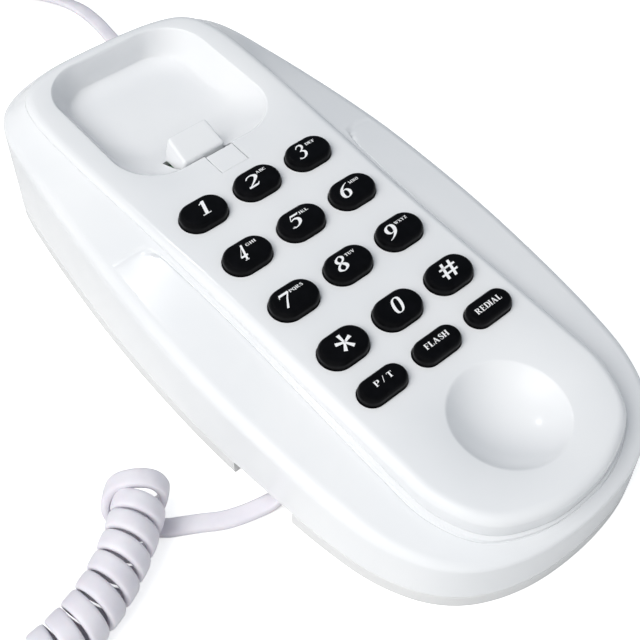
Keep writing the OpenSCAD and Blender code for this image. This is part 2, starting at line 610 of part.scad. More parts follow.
// ---- Line cord ----
// The lead runs from the plug over the desk to the coil, behind the ear end.
lead_route = [for (p = [[0, 6, 9.2], [0, 11, 9], [0.5, 19, 8], [1, 27, 5.8], [1.8, 37, 3.2], [2.5, 47, 2],
  [3.2, 55, 1.8], [4.6, 67, 1.8], [4.4, 79, 1.8], [1, 89, 2], [-6, 99, 2.4], [-16, 108.5, 3],
  [-24, 119, 3.4], [-28, 130, 3.6]]) p + [line_x, line_face_y, 0]];
coil_mid = [line_x + 7, line_face_y + 148];
coil_low = 1.2; // the coil lies on its tie
coil_gap = 0.6;
coil_rise = line_w + coil_gap;
coil_adv = line_t + coil_gap;
coil_n = 24;
half_turns = coil_loops * coil_n;
reverse_at = half_turns + coil_n / 4; // the spiral reverses in the middle of the climb
coil_out = coil_r + coil_adv * reverse_at / coil_n;
function climb(i) = min(max((i - half_turns) / (coil_n / 2), 0), 1);
function coil_radius(i) = coil_r + coil_adv * abs(i - reverse_at) / coil_n;
function coil_point(i) = let (a = 180 - 360 * i / coil_n)
  [coil_mid[0] + coil_radius(i) * cos(a), coil_mid[1] + coil_radius(i) * sin(a),
    coil_low + line_w / 2 + climb(i) * coil_rise];
coil_last = 2 * half_turns + coil_n / 2;
coil_core = [for (i = [0:coil_last]) coil_point(i)];
coil_path = concat([coil_core[0] - [0, line_w, 0]], coil_core, [coil_core[coil_last] - [0, line_w, 0]]);
coil_across = level(len(coil_path));
coil_rings = swept(coil_path, coil_across, line_w, line_t, 6);
function near(a, b) = min([for (p = a) for (q = b) norm(p - q)]);
// Least distance between rings that are a loop or more apart and face each other.
coil_least = min([for (i = [1:len(coil_rings) - 2]) for (j = [i + coil_n - 1:1:len(coil_rings) - 2])
  norm(coil_path[i] - coil_path[j]) < line_w + 2 ? near(coil_rings[i], coil_rings[j]) : 99]);
echo(coil_least_gap = coil_least);
function run_length(p) = len(p) < 2 ? 0 : [for (i = [1:len(p) - 1]) norm(p[i] - p[i - 1])]
  * [for (i = [1:len(p) - 1]) 1];
coil_start = coil_path[0];
coil_end = coil_path[len(coil_path) - 1];
wall_plug_at = [coil_end[0] + 1, coil_mid[1] - 36, plug_h / 2 + 0.1];
wall_plug_back = wall_plug_at + [0, 3, 0];
lead_path = concat([lead_route[0] - [0, 3, 0]], curve(lead_route, 2), [coil_start - [0, 2, 0], coil_start]);
end_path = concat([coil_end], curve([coil_end - [0, 2, 0], coil_end - [0, 6, 1.4], coil_end - [-0.6, 12, 4.2],
  wall_plug_back + [0, 8, 0], wall_plug_back + [0, 2, 0]], 2), [wall_plug_back]);
// The flat cord turns from level at the plug to upright in the coil.
function turned(p, share) = [for (i = [0:len(p) - 1])
  let (f = 90 * min(max((i / (len(p) - 1) - share) / (1 - share), 0), 1), d = path_dir(p, i),
    side = unit(cross([0, 0, 1], d)))
  cos(f) * side + sin(f) * [0, 0, 1]];
module line_cord_lead() color("whitesmoke") tube(swept(lead_path, turned(lead_path, 0.55), line_w, line_t, 8));
module line_cord_coil() color("whitesmoke") tube(coil_rings);
module line_cord_end() color("whitesmoke") {
  r = [for (i = [len(end_path) - 1:-1:0]) end_path[i]];
  tube(swept(r, turned(r, 0.2), line_w, line_t, 8));
}
module line_cord_tie() color("black") {
  x = coil_mid[0];
  y0 = coil_mid[1] + coil_r - line_t - 0.6;
  y1 = coil_mid[1] + coil_out + line_t + 0.4;
  z1 = coil_low + 2 * line_w + coil_gap + 0.5;
  difference() {
    box(x - 3, x + 3, y0 - 0.8, y1 + 0.8, 0.05, z1 + 0.8);
    box(x - 4, x + 4, y0, y1, 0.85, z1);
  }
}
module wall_plug() color("lightgray") translate(wall_plug_at) rotate([0, 0, 180]) plug(line_plug_w);

// ---- Curly handset cord ----
// The tail leaves the notch over the desk; the curls lie along an axis of two arcs and a straight run.
axis_from = [jack_face_x - 37.2, -24];
axis_heading = 232;
axis_bend = 59; // radius of the first arc
axis_turn = 44;
axis_bend_2 = 70;
axis_turn_2 = 98;
axis_run_1 = axis_bend * axis_turn * PI / 180;
axis_run_2 = axis_bend_2 * axis_turn_2 * PI / 180;
function heading(a) = [cos(a), sin(a)];
function right_of(a) = [sin(a), -cos(a)];
axis_mid_1 = axis_from + axis_bend * right_of(axis_heading);
axis_knee = axis_mid_1 - axis_bend * right_of(axis_heading - axis_turn);
axis_mid_2 = axis_knee + axis_bend_2 * right_of(axis_heading - axis_turn);
axis_last = axis_heading - axis_turn - axis_turn_2;
axis_knee_2 = axis_mid_2 - axis_bend_2 * right_of(axis_last);
function axis_angle(s) = s < axis_run_1 ? axis_heading - s / axis_bend * 180 / PI
  : s < axis_run_1 + axis_run_2 ? axis_heading - axis_turn - (s - axis_run_1) / axis_bend_2 * 180 / PI
  : axis_last;
function axis_point(s) = s < axis_run_1 ? axis_mid_1 - axis_bend * right_of(axis_angle(s))
  : s < axis_run_1 + axis_run_2 ? axis_mid_2 - axis_bend_2 * right_of(axis_angle(s))
  : axis_knee_2 + (s - axis_run_1 - axis_run_2) * heading(axis_last);
curls = 54;
curl_n = 8;
curl_r = (curl_d - curl_t) / 2;
curl_z = curl_d / 2 + 0.15;
// Point i of the helix: the phase starts under the axis and turns towards its right-hand side.
function curl_point(i) = let (s = curl_pitch * i / curl_n, f = 360 * i / curl_n - 90,
    c = axis_point(s), r = right_of(axis_angle(s)))
  [c[0] + curl_r * cos(f) * r[0], c[1] + curl_r * cos(f) * r[1], curl_z + curl_r * sin(f)];
curl_core = [for (i = [0:curls * curl_n]) curl_point(i)];
function stub(a, b) = unit([b[0] - a[0], b[1] - a[1], 0]);
curl_first = curl_core[0] - curl_w * stub(curl_core[0], curl_core[1]);
curl_lastp = curl_core[curls * curl_n]
  + curl_w * stub(curl_core[curls * curl_n - 1], curl_core[curls * curl_n]);
curl_path = concat([curl_first], curl_core, [curl_lastp]);
curl_across = [for (i = [0:len(curl_path) - 1]) let (a = axis_angle(curl_pitch * (i - 1) / curl_n))
  [cos(a), sin(a), 0]];
curl_rings = swept(curl_path, curl_across, curl_w, curl_t, 6);
curl_least = min([for (i = [1:len(curl_rings) - 2 - curl_n]) for (k = [-1:1])
  i + curl_n + k < len(curl_rings) - 1 ? near(curl_rings[i], curl_rings[i + curl_n + k]) : 99]);
echo(curl_least_gap = curl_least, curl_path_length = run_length(curl_path));
echo(coil_path_length = run_length(coil_path), lead = run_length(lead_path), end = run_length(end_path));
curl_in = stub(curl_core[0], curl_core[1]);
curl_away = stub(curl_core[curls * curl_n - 1], curl_core[curls * curl_n]);
base_tail = [for (p = [[-5, 0, 5.3], [-8, 0, 4.4], [-12, -0.2, 2.8], [-17, 0.6, 1.8], [-23, 3.2, 1.5],
  [-27.8, 7.2, 1.45], [-29.4, 12.4, 1.45], [-30.4, 16.4, 1.45]]) p + [jack_face_x, jack_y, 0]];
base_tail_path = concat([[jack_face_x - 3, jack_y, plug_z]], curve(base_tail, 3),
  [curl_first - 1.5 * curl_in, curl_first]);
module base_cord_tail() color("whitesmoke") flat_cord(base_tail_path, curl_w, curl_t);
module curly_cord() color("whitesmoke") tube(curl_rings);

// ---- Handset, lying face down with its mouth end towards +Y ----
handset_at = [jack_face_x - 109, 86];
ear_y = 34 - handset_len / 2;
mouth_y = handset_len / 2 - 22;
front_z = boss_h;
split_z = front_z + 6.5;
hs_wall = 2;
socket_face = handset_len / 2 - 3;
socket_z = split_z;
arch = 4; // rise of the grip's underside between the bosses
arch_half = (mouth_y - ear_y) / 2 - 24;
function front_at(y) = front_z + arch * max(0, 1 - pow((y - (ear_y + mouth_y) / 2) / arch_half, 2));
function back_at(y) = handset_h - 3 * pow(abs(y) / (handset_len / 2), 2.5);
module handset() { translate([handset_at[0], handset_at[1], 0]) children(); }
hs_screw_at = [[0, 8 - handset_len / 2], [0, 30]];
module socket_space() {
  half_w = handset_plug_w / 2 + plug_gap + jack_wall + 0.25;
  half_h = plug_h / 2 + plug_gap + jack_wall + 0.25;
  box(-half_w, half_w, socket_face - 13, socket_face + 0.1, socket_z - half_h, socket_z + half_h);
  box(-handset_plug_w / 2 - 0.4, handset_plug_w / 2 + 0.4, socket_face, handset_len / 2 + 1,
    socket_z - plug_h / 2 - 0.4, socket_z + plug_h / 2 + 0.4);
}
module handset_back() color("white") handset() {
  levels = [[0, 0], [0.6, 0.45], [2.6, 0.8], [6, 0.95], [11, 1]];
  difference() {
    union() {
      skin(concat(
        [flat(inset(handset_out, 9), handset_h - hs_wall - 3.4)],
        [flat(inset(handset_out, hs_wall), split_z)],
        [for (v = levels) [for (p = inset(handset_out, v[0]))
          [p[0], p[1], split_z + (back_at(p[1]) - split_z) * v[1]]]]));
      for (p = hs_screw_at) rod(p[0], p[1], split_z, handset_h - hs_wall - 1, 3);
    }
    for (p = hs_screw_at) rod(p[0], p[1], split_z - 1, handset_h - 6, pilot_r + 0.2);
    socket_space();
  }
}
module handset_front() color("white") handset() {
  difference() {
    union() {
      skin([
        [for (p = inset(handset_out, 6)) [p[0], p[1], front_at(p[1])]],
        [for (p = inset(handset_out, 1)) [p[0], p[1], front_at(p[1]) + 0.8]],
        flat(handset_out, split_z - seam_gap)
      ]);
      translate([0, ear_y, 0]) rounded_box(ear_boss_w, ear_boss_l, 10, 0, front_z + 1);
      translate([0, mouth_y, 0]) rotate_extrude($fn = 96)
        polygon([[0, 0], [4, 0], [8, 0.9], [11.5, 2.6], [mouth_boss_r, boss_h], [mouth_boss_r, boss_h + 1],
          [0, boss_h + 1]]);
    }
    skin([
      [for (p = inset(handset_out, 7)) [p[0], p[1], front_at(p[1]) + 1.6]],
      [for (p = inset(handset_out, 2.6)) [p[0], p[1], front_at(p[1]) + 2.1]],
      flat(inset(handset_out, hs_wall), split_z + 1)
    ]);
    translate([0, ear_y, 0]) {
      rounded_box(ear_boss_w - 2 * hs_wall, ear_boss_l - 2 * hs_wall, 8, hs_wall, split_z);
      for (a = [0:60:300]) rod(6 * cos(a), 6 * sin(a), -1, 3, 1.1);
      rod(0, 0, -1, 3, 1.1);
    }
    translate([0, mouth_y, 0]) {
      rod(0, 0, 3, split_z, 10.5);
      for (a = [0:90:270]) rod(2.2 * cos(a), 2.2 * sin(a), -1, 4, 0.7);
    }
    for (p = hs_screw_at) rod(p[0], p[1], -1, split_z, pilot_r + 0.5);
    socket_space();
  }
}
module receiver() color("dimgray") handset() translate([0, ear_y, 0]) {
  rod(0, 0, hs_wall + 1, hs_wall + 7, 15);
  rod(0, 0, hs_wall + 7 - eps, hs_wall + 9, 9);
}
module receiver_gasket() color("black") handset() translate([0, ear_y, 0]) difference() {
  rod(0, 0, hs_wall, hs_wall + 1, 15);
  rod(0, 0, hs_wall - 1, hs_wall + 2, 11);
}
module microphone() color("silver") handset() rod(0, mouth_y, 4, 8, 4.9);
module microphone_boot() color("black") handset() difference() {
  rod(0, mouth_y, 3, 9.5, 6.6);
  rod(0, mouth_y, 2, 4, 3);
  rod(0, mouth_y, 4, 8, 5);
  rod(0, mouth_y, 7, 10, 3);
}
module handset_weight() color("slategray") handset()
  box(-14, 14, -34, 6, handset_h - hs_wall - 3.4 - 6, handset_h - hs_wall - 3.4);
module handset_screws() color("silver") handset() for (p = hs_screw_at) {
  rod(p[0], p[1], front_at(p[1]) + 0.2, front_at(p[1]) + 1.4, 1.4);
  rod(p[0], p[1], front_at(p[1]) + 1.4 - eps, handset_h - 7, pilot_r + 0.15);
}
module at_socket() {
  translate([handset_at[0], handset_at[1] + socket_face, socket_z]) rotate([0, 0, 180]) children();
}
module handset_socket() color("black") at_socket() jack(handset_plug_w, 11);
module handset_cord_plug() color("lightgray") at_socket() plug(handset_plug_w);
hs_wire = [[0, socket_face - 11.5, 13], [2, socket_face - 15, 13.6], [6, socket_face - 27, 14], [10, 48, 15],
  [16, 20, 15.6], [18, 0, 15.6], [18, -22, 15.4], [16, ear_y + 28, 14.6], [8, ear_y + 16, 13],
  [5, ear_y + 10, 11.9]];
module handset_wires() color("crimson") handset() wire(curve(hs_wire, 2), wire_d);
socket_back = [handset_at[0], handset_at[1] + socket_face + 3, socket_z];
handset_tail = concat([curl_lastp + 1.5 * curl_away], [for (p = [[-37, -11.5, 1.45], [-34.4, -5, 1.6],
  [-32.6, 4, 2.6], [-27, 13, 4.8], [-17, 18.5, 7.6], [-7, 17, 10.2], [-1.4, 10.5, 11.7]])
  [socket_back[0], socket_back[1] - 3, 0] + p + [0, 3, 0]], [socket_back + [0, 2, 0]]);
handset_tail_path = concat([curl_lastp], curve(handset_tail, 3), [socket_back]);
module handset_cord_tail() color("whitesmoke") flat_cord(handset_tail_path, curl_w, curl_t);

// ---- The part ----
lower_shell();
upper_shell();
face_plate();
rubber_pads();
housing_screws();
ballast_plate();
main_board();
board_components();
board_screws();
keypad_membrane();
key(-1, 0);  // key_1
key(0, 0);  // key_2
key(1, 0);  // key_3
key(-1, 1);  // key_4
key(0, 1);  // key_5
key(1, 1);  // key_6
key(-1, 2);  // key_7
key(0, 2);  // key_8
key(1, 2);  // key_9
key(-1, 3);  // key_star
key(0, 3);  // key_0
key(1, 3);  // key_hash
key(-1, 4);  // key_pulse_tone
key(0, 4);  // key_flash
key(1, 4);  // key_redial
hook_plunger();
hook_spring();
hook_contacts();
hanger_tab();
ringer();
ringer_wires();
handset_jack();
handset_jack_wires();
line_jack();
line_jack_wires();
line_plug();
line_cord_lead();
line_cord_coil();
line_cord_tie();
line_cord_end();
wall_plug();
base_cord_plug();
base_cord_tail();
curly_cord();
handset_cord_tail();
handset_cord_plug();
handset_back();
handset_front();
receiver();
receiver_gasket();
microphone();
microphone_boot();
handset_weight();
handset_socket();
handset_screws();
handset_wires();
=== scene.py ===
# %% [markdown]
# # A corded desk telephone
# The construction model gives every part its place. This file gives each visible part its real
# surface: soft rounded mouldings, pressed-in keys with printed figures, and cords that lie where
# their own weight puts them. All lengths are in metres; the drawings below are in millimetres and
# are multiplied by MM.

# %% Load the construction model
import json
import math

import bpy
import numpy as np
from mathutils import Matrix, Vector
from mathutils.geometry import delaunay_2d_cdt


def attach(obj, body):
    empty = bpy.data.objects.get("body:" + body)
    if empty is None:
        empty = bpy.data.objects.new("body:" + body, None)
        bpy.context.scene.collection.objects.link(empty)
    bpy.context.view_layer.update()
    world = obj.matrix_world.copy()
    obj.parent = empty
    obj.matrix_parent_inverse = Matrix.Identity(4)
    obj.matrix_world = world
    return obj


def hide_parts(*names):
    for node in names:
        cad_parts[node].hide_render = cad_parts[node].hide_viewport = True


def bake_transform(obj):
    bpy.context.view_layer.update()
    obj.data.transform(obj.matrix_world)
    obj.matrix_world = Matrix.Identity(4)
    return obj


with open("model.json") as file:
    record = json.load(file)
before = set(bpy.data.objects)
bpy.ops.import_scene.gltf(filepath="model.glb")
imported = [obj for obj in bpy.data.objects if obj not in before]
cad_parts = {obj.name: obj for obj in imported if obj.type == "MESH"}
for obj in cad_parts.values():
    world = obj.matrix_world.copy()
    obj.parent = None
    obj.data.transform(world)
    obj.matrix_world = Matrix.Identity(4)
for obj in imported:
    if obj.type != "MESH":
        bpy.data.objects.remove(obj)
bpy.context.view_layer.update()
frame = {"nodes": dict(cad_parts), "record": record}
MM = 0.001

# %% [markdown]
# ## The camera
# A telephone on a table is looked down on from the caller's left. The lens is a little long, so
# that the far end of the base narrows only slightly.

# %% Camera
HEADING, DOWN, ROLL = 41.33, 50.49, 0.34
CAMERA_AT = Vector((-131.6, -157.1, 241.4)) * MM
camera_data = bpy.data.cameras.new("camera")
camera_data.lens = 59.02
camera_data.sensor_width = 36
camera_data.clip_start = 0.01
camera = bpy.data.objects.new("camera", camera_data)
camera.matrix_world = (Matrix.Translation(CAMERA_AT)
                       @ Matrix.Rotation(math.radians(-HEADING), 4, "Z")
                       @ Matrix.Rotation(math.radians(90 - DOWN), 4, "X")
                       @ Matrix.Rotation(math.radians(ROLL), 4, "Z"))
bpy.context.collection.objects.link(camera)
bpy.context.scene.camera = camera
print("camera axes:", [[round(v, 4) for v in row[:3]] for row in camera.matrix_world])

# %% [markdown]
# ## Meshes from whole arrays
# Every new surface is a table of rings: ring after ring of points with the same count. One helper
# turns such a table into faces, another builds the Blender mesh, and the shapes themselves stay
# short formulas.

# %% Helpers: grids and meshes
def ring_faces(rows, count, first=0, joined=False):
    """Quads between neighbouring rings: corners (k,i), (k,i+1), (k+1,i+1), (k+1,i), i round the ring.

    With joined=True the last ring is joined to the first.
    """
    k = np.arange(rows if joined else rows - 1)[:, None]
    i = np.arange(count)[None, :]
    j = (i + 1) % count
    n = (k + 1) % rows
    quads = np.stack([k * count + i, k * count + j, n * count + j, n * count + i], axis=-1)
    return quads.reshape(-1, 4) + first


def fan_faces(centre, start, count, outward=True):
    """Triangles from one centre point to a ring: (centre, i, i+1), or turned over."""
    i = np.arange(count)
    j = (i + 1) % count
    tri = np.stack([np.full(count, centre), start + i, start + j], axis=-1)
    return tri if outward else tri[:, ::-1]


def make_mesh(name, verts, face_sets, material, sharp=None, flip=False):
    """Builds an object at the origin from points in mm and arrays of faces; sharp is in degrees."""
    mesh = bpy.data.meshes.new(name)
    faces = [f[:, ::-1] if flip else f for f in face_sets if len(f)]
    sizes = np.concatenate([np.full(len(f), f.shape[1]) for f in faces])
    loops = np.concatenate([f.reshape(-1) for f in faces]).astype(np.int32)
    verts = np.asarray(verts, dtype=np.float64) * MM
    mesh.vertices.add(len(verts))
    mesh.vertices.foreach_set("co", verts.reshape(-1).astype(np.float32))
    mesh.loops.add(len(loops))
    mesh.loops.foreach_set("vertex_index", loops)
    mesh.polygons.add(len(sizes))
    starts = np.concatenate([[0], np.cumsum(sizes)[:-1]]).astype(np.int32)
    mesh.polygons.foreach_set("loop_start", starts)
    mesh.update(calc_edges=True)
    mesh.validate()
    mesh.polygons.foreach_set("use_smooth", np.ones(len(mesh.polygons), dtype=bool))
    if sharp is not None:
        mesh.set_sharp_from_angle(angle=math.radians(sharp))
    mesh.materials.append(material)
    piece = bpy.data.objects.new(name, mesh)
    bpy.context.collection.objects.link(piece)
    return piece


def loft(name, rings, material, sharp=None, flip=False, ends=None, at=(0, 0, 0)):
    """A closed skin over rings of the same count; each end is one face, or is filled by ends([ring])."""
    n = len(rings[0])
    low = high = np.arange(n)[None]
    if ends:
        low, high = ends([rings[0]]), ends([rings[-1]])
    faces = [ring_faces(len(rings), n), low[:, ::-1], high + (len(rings) - 1) * n]
    return make_mesh(name, np.vstack(rings) + at, faces, material, sharp, flip)


def fan_loft(name, rings, low, high, material, sharp=None):
    """A closed skin over rings of the same count whose ends are fans to the points low and high."""
    rows, n = len(rings), len(rings[0])
    faces = [ring_faces(rows, n), fan_faces(rows * n, 0, n, False),
             fan_faces(rows * n + 1, (rows - 1) * n, n)]
    return make_mesh(name, np.vstack([*rings, low, high]), faces, material, sharp)


def stand_in(piece, body, node):
    """The piece moves with a body and is seen in place of a construction node."""
    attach(piece, body)
    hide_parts(node)


def blend4(a, b, c, d, t):
    """Catmull-Rom: half of 2b + (c-a)t + (2a-5b+4c-d)t^2 + (3b-a-3c+d)t^3."""
    return 0.5 * (2 * b + (c - a) * t + (2 * a - 5 * b + 4 * c - d) * t ** 2
                  + (3 * b - a - 3 * c + d) * t ** 3)


def closed_curve(points, steps):
    """Smooth closed curve through the points, steps samples to a span."""
    p = np.asarray(points, dtype=float)
    t = (np.arange(steps) / steps)[None, :, None]
    a, b, c, d = (np.roll(p, s, axis=0)[:, None, :] for s in (1, 0, -1, -2))
    return blend4(a, b, c, d, t).reshape(-1, p.shape[1])


def open_curve(points, steps):
    """Smooth open curve through the points; the first and last points are doubled as end tangents."""
    p = np.asarray(points, dtype=float)
    q = np.vstack([p[:1], p, p[-1:]])
    t = (np.arange(steps) / steps)[None, :, None]
    a, b, c, d = (q[k:len(q) - 3 + k][:, None, :] for k in range(4))
    return np.vstack([blend4(a, b, c, d, t).reshape(-1, p.shape[1]), p[-1:]])


def run_length(points):
    """Sum of the distances from each point to the next."""
    return float(np.linalg.norm(np.diff(points, axis=0), axis=1).sum())


# %% [markdown]
# ## Finishes
# The housing is ABS with a fine gloss, so its colour is one warm white that drifts very slightly
# over the moulding and its polish breaks up a little; the tray's white is set darker, which is painted
# shade for its low band under the seam. The keys are black rubber-like ABS, softer in shine. Vinyl
# cords have a faint lilac cast. Each finish is built from noise on the piece's own coordinates, so it
# stays in place when the piece moves.

# %% Helpers: shader nodes and a finish
def add_node(tree, kind, **values):
    """A new shader node with constants set straight on its inputs; _ in a name stands for a space."""
    node = tree.nodes.new("ShaderNode" + kind)
    for key, value in values.items():
        node.inputs[key.replace("_", " ")].default_value = value
    return node


def add_ramp(tree, ends, low, high):
    """A colour ramp that goes from low to high between two positions."""
    node = add_node(tree, "ValToRGB")
    for element, position, colour in zip(node.color_ramp.elements, ends, (low, high)):
        element.position = position
        element.color = (*colour, 1)
    return node


def wire(tree, *links):
    """Each link is (node, output, node, input)."""
    for source, output, target, socket in links:
        tree.links.new(source.outputs[output], target.inputs[socket])


def finish_of(name, low, high, rough=(0.3, 0.4), patch=60.0, grain=2500.0, bump=0.02, depth=0.0001,
              sockets=None, stretch=(1, 1, 1), ramp=(0.35, 0.65)):
    """Principled material: colour = ramp(low, high) over soft patches, roughness = range over fine
    grain, bump = the same grain. sockets sets constants such as Metallic straight on the shader."""
    material = bpy.data.materials.new(name)
    material.use_nodes = True
    tree = material.node_tree
    shader = tree.nodes["Principled BSDF"]
    where = add_node(tree, "TexCoord")
    mapping = add_node(tree, "Mapping", Scale=stretch)
    patches = add_node(tree, "TexNoise", Scale=patch, Detail=3)
    grains = add_node(tree, "TexNoise", Scale=grain, Detail=2)
    tint = add_ramp(tree, ramp, low, high)
    polish = add_node(tree, "MapRange", To_Min=rough[0], To_Max=rough[1])
    relief = add_node(tree, "Bump", Strength=bump, Distance=depth)
    wire(tree, (where, "Object", mapping, "Vector"), (mapping, "Vector", patches, "Vector"),
         (mapping, "Vector", grains, "Vector"), (patches, "Fac", tint, "Fac"),
         (tint, "Color", shader, "Base Color"), (grains, "Fac", polish, "Value"),
         (polish, "Result", shader, "Roughness"), (grains, "Fac", relief, "Height"),
         (relief, "Normal", shader, "Normal"))
    for key, value in (sockets or {}).items():
        shader.inputs[key].default_value = value
    return material


# %% The palette
WHITE = finish_of("glossy_white_abs", (0.80, 0.81, 0.83), (0.84, 0.845, 0.86), rough=(0.16, 0.24),
                  patch=25, bump=0.012, sockets={"IOR": 1.53, "Coat Weight": 0.25, "Coat Roughness": 0.08})
# The tray's white is darker than the upper shell's: painted shade for its low band under the seam. Its higher
# roughness without coat is the tray's duller surface.
TRAY_WHITE_SHADED = finish_of("tray_white_abs_painted_shade", (0.70, 0.70, 0.705), (0.735, 0.735, 0.74), rough=(0.26, 0.36),
                       patch=25, bump=0.02)
BLACK = finish_of("black_key_abs", (0.0010, 0.0010, 0.0014), (0.0022, 0.0022, 0.003), rough=(0.30, 0.42),
                  patch=400, grain=3500, bump=0.03, sockets={"Specular IOR Level": 0.11})
INK = finish_of("white_ink", (0.86, 0.86, 0.87), (0.92, 0.92, 0.93), rough=(0.4, 0.5), patch=900,
                grain=5000, bump=0.02)
VINYL = finish_of("lilac_white_vinyl", (0.74, 0.715, 0.775), (0.81, 0.79, 0.84), rough=(0.34, 0.46),
                  patch=120, grain=1800, bump=0.03,
                  sockets={"Subsurface Weight": 0.06, "Subsurface Scale": 0.002})
CLEAR = finish_of("clear_plug", (0.72, 0.76, 0.80), (0.82, 0.85, 0.88), rough=(0.1, 0.18), patch=300,
                  sockets={"Transmission Weight": 0.55, "IOR": 1.49})
GOLD = finish_of("gold_contact", (0.75, 0.52, 0.16), (0.85, 0.62, 0.22), rough=(0.18, 0.3), patch=900,
                 sockets={"Metallic": 1.0})
RUBBER = finish_of("black_rubber", (0.016, 0.016, 0.017), (0.03, 0.03, 0.031), rough=(0.62, 0.82),
                   patch=180, grain=1400, bump=0.14, depth=0.0002)
GREY_RUBBER = finish_of("grey_silicone", (0.24, 0.25, 0.27), (0.31, 0.32, 0.34), rough=(0.5, 0.64),
                        patch=90, grain=1600, bump=0.06)
SCREW = finish_of("zinc_plated_steel", (0.50, 0.50, 0.48), (0.66, 0.66, 0.63), rough=(0.22, 0.4),
                  patch=700, grain=4000, bump=0.05, sockets={"Metallic": 1.0})
BARE_STEEL = finish_of("rolled_steel", (0.30, 0.30, 0.31), (0.42, 0.42, 0.43), rough=(0.34, 0.55),
                       patch=70, grain=900, bump=0.08, stretch=(1, 9, 1), sockets={"Metallic": 1.0})
BOARD = finish_of("tinned_board", (0.035, 0.15, 0.06), (0.06, 0.24, 0.10), rough=(0.28, 0.42), patch=330,
                  grain=1200, bump=0.05, stretch=(1, 2.6, 1), ramp=(0.485, 0.515))
COMPONENT = finish_of("moulded_epoxy", (0.014, 0.014, 0.015), (0.03, 0.03, 0.03), rough=(0.45, 0.6),
                      patch=500, grain=2600, bump=0.06)
WIRE_RED, WIRE_GREEN, WIRE_YELLOW = (
    finish_of(name, low, high, rough=(0.34, 0.46), patch=300) for name, low, high in (
        ("red_wire", (0.42, 0.012, 0.012), (0.56, 0.02, 0.02)),
        ("green_wire", (0.01, 0.19, 0.04), (0.015, 0.27, 0.06)),
        ("yellow_wire", (0.66, 0.46, 0.02), (0.80, 0.58, 0.03))))
TIE = finish_of("black_tie", (0.012, 0.012, 0.013), (0.025, 0.025, 0.026), rough=(0.5, 0.7), patch=500,
                grain=1500, bump=0.1)
FINISH_OF_SLOT = {"white_housing": WHITE, "black_keys": BLACK, "rubber": RUBBER, "grey_rubber": GREY_RUBBER,
                  "screw_steel": SCREW, "raw_steel": BARE_STEEL, "circuit_board": BOARD,
                  "component_black": COMPONENT, "contact_metal": GOLD, "wire_red": WIRE_RED,
                  "wire_green": WIRE_GREEN, "wire_yellow": WIRE_YELLOW, "clear_plug": CLEAR,
                  "cord_vinyl": VINYL, "tie_black": TIE}
given = 0
for row in frame["record"]["subparts"]:
    for place in frame["nodes"][row["node"]].material_slots:
        place.material = FINISH_OF_SLOT[row["material_slot"]]
        given += 1
print("finishes:", len(FINISH_OF_SLOT), "given to node slots:", given)

# %% [markdown]
# ## The handset cord
# A handset cord is a flat vinyl band wound on a rod and set by heat, so its curls keep their size
# and only the axis of the coil bends. It is drawn as a helix round a bent axis, with a straight tail
# at each end that goes to its plug. A curve object would need its twist corrected at every
# crossing; a table of rings with a known sideways direction has no such trouble.

# %% Cord helpers
def unit(v):
    """Each vector divided by its own length."""
    return v / np.linalg.norm(v, axis=-1, keepdims=True)


def band(name, path, side, width, thick, material, sides=14):
    """A band swept along path: each ring is path + x side + y (direction x side), with (x, y) on the
    rounded rectangle |2x/width|^4 + |2y/thick|^4 = 1. The ends are closed."""
    ahead = unit(np.gradient(path, axis=0))
    side = unit(side - (side * ahead).sum(axis=1, keepdims=True) * ahead)
    up = np.cross(ahead, side)
    turn = 2 * np.pi * np.arange(sides) / sides
    x = width / 2 * np.sign(np.cos(turn)) * np.abs(np.cos(turn)) ** 0.5
    y = thick / 2 * np.sign(np.sin(turn)) * np.abs(np.sin(turn)) ** 0.5
    rings = path[:, None, :] + x[None, :, None] * side[:, None, :] + y[None, :, None] * up[:, None, :]
    return fan_loft(name, rings, path[0], path[-1], material)


def spaced(path, side):
    """The path and its side direction without the points that repeat the one before."""
    keep = np.append(True, np.linalg.norm(np.diff(path, axis=0), axis=1) > 0.05)
    return path[keep], side[keep]


CURL_PITCH, CURL_R, CURL_Z, CURLS = 5.8, 5.7, 7.15, 54
CURL_W, CURL_T = 5.0, 2.5
AXIS_FROM, AXIS_HEADING = np.array([-74.2, -24.0]), 232.0
BENDS = ((59.0, 44.0), (70.0, 98.0))


def right_of(angle):
    """Unit vector to the right of a heading: (sin a, -cos a)."""
    a = np.radians(angle)
    return np.stack([np.sin(a), -np.cos(a)], axis=-1)


def coil_axis(s):
    """Point and heading of the coil's axis at run s: two clockwise arcs, then straight on.

    On an arc of radius R round M the heading is h - s/R and the point is M - R right_of(heading)."""
    (r1, t1), (r2, t2) = BENDS
    run1, run2 = math.radians(t1) * r1, math.radians(t2) * r2
    mid1 = AXIS_FROM + r1 * right_of(AXIS_HEADING)
    knee = mid1 - r1 * right_of(AXIS_HEADING - t1)
    mid2 = knee + r2 * right_of(AXIS_HEADING - t1)
    last = AXIS_HEADING - t1 - t2
    knee2 = mid2 - r2 * right_of(last)
    a1 = AXIS_HEADING - np.degrees(s / r1)
    a2 = AXIS_HEADING - t1 - np.degrees((s - run1) / r2)
    angle = np.where(s < run1, a1, np.where(s < run1 + run2, a2, last))
    one = mid1 - r1 * right_of(a1)
    two = mid2 - r2 * right_of(a2)
    ahead = np.array([math.cos(math.radians(last)), math.sin(math.radians(last))])
    end = knee2 + (s - run1 - run2)[:, None] * ahead
    point = np.where((s < run1)[:, None], one, np.where((s < run1 + run2)[:, None], two, end))
    return point, angle


def ease(t):
    """Smooth step: 3t^2 - 2t^3 between 0 and 1."""
    t = np.clip(t, 0, 1)
    return t * t * (3 - 2 * t)


def lifted(s):
    """Rise of the coil's first curls, which rest on the tail: 2.75 until s = 10, gone by s = 40."""
    return 2.75 * (1 - ease((np.asarray(s) - 10) / 30))


def beside(s, right, z):
    """A point given by its run along the coil's axis, its distance to the right of it and its height."""
    centre, angle = coil_axis(np.array([float(s)]))
    return [*(centre + right * right_of(angle))[0], z]


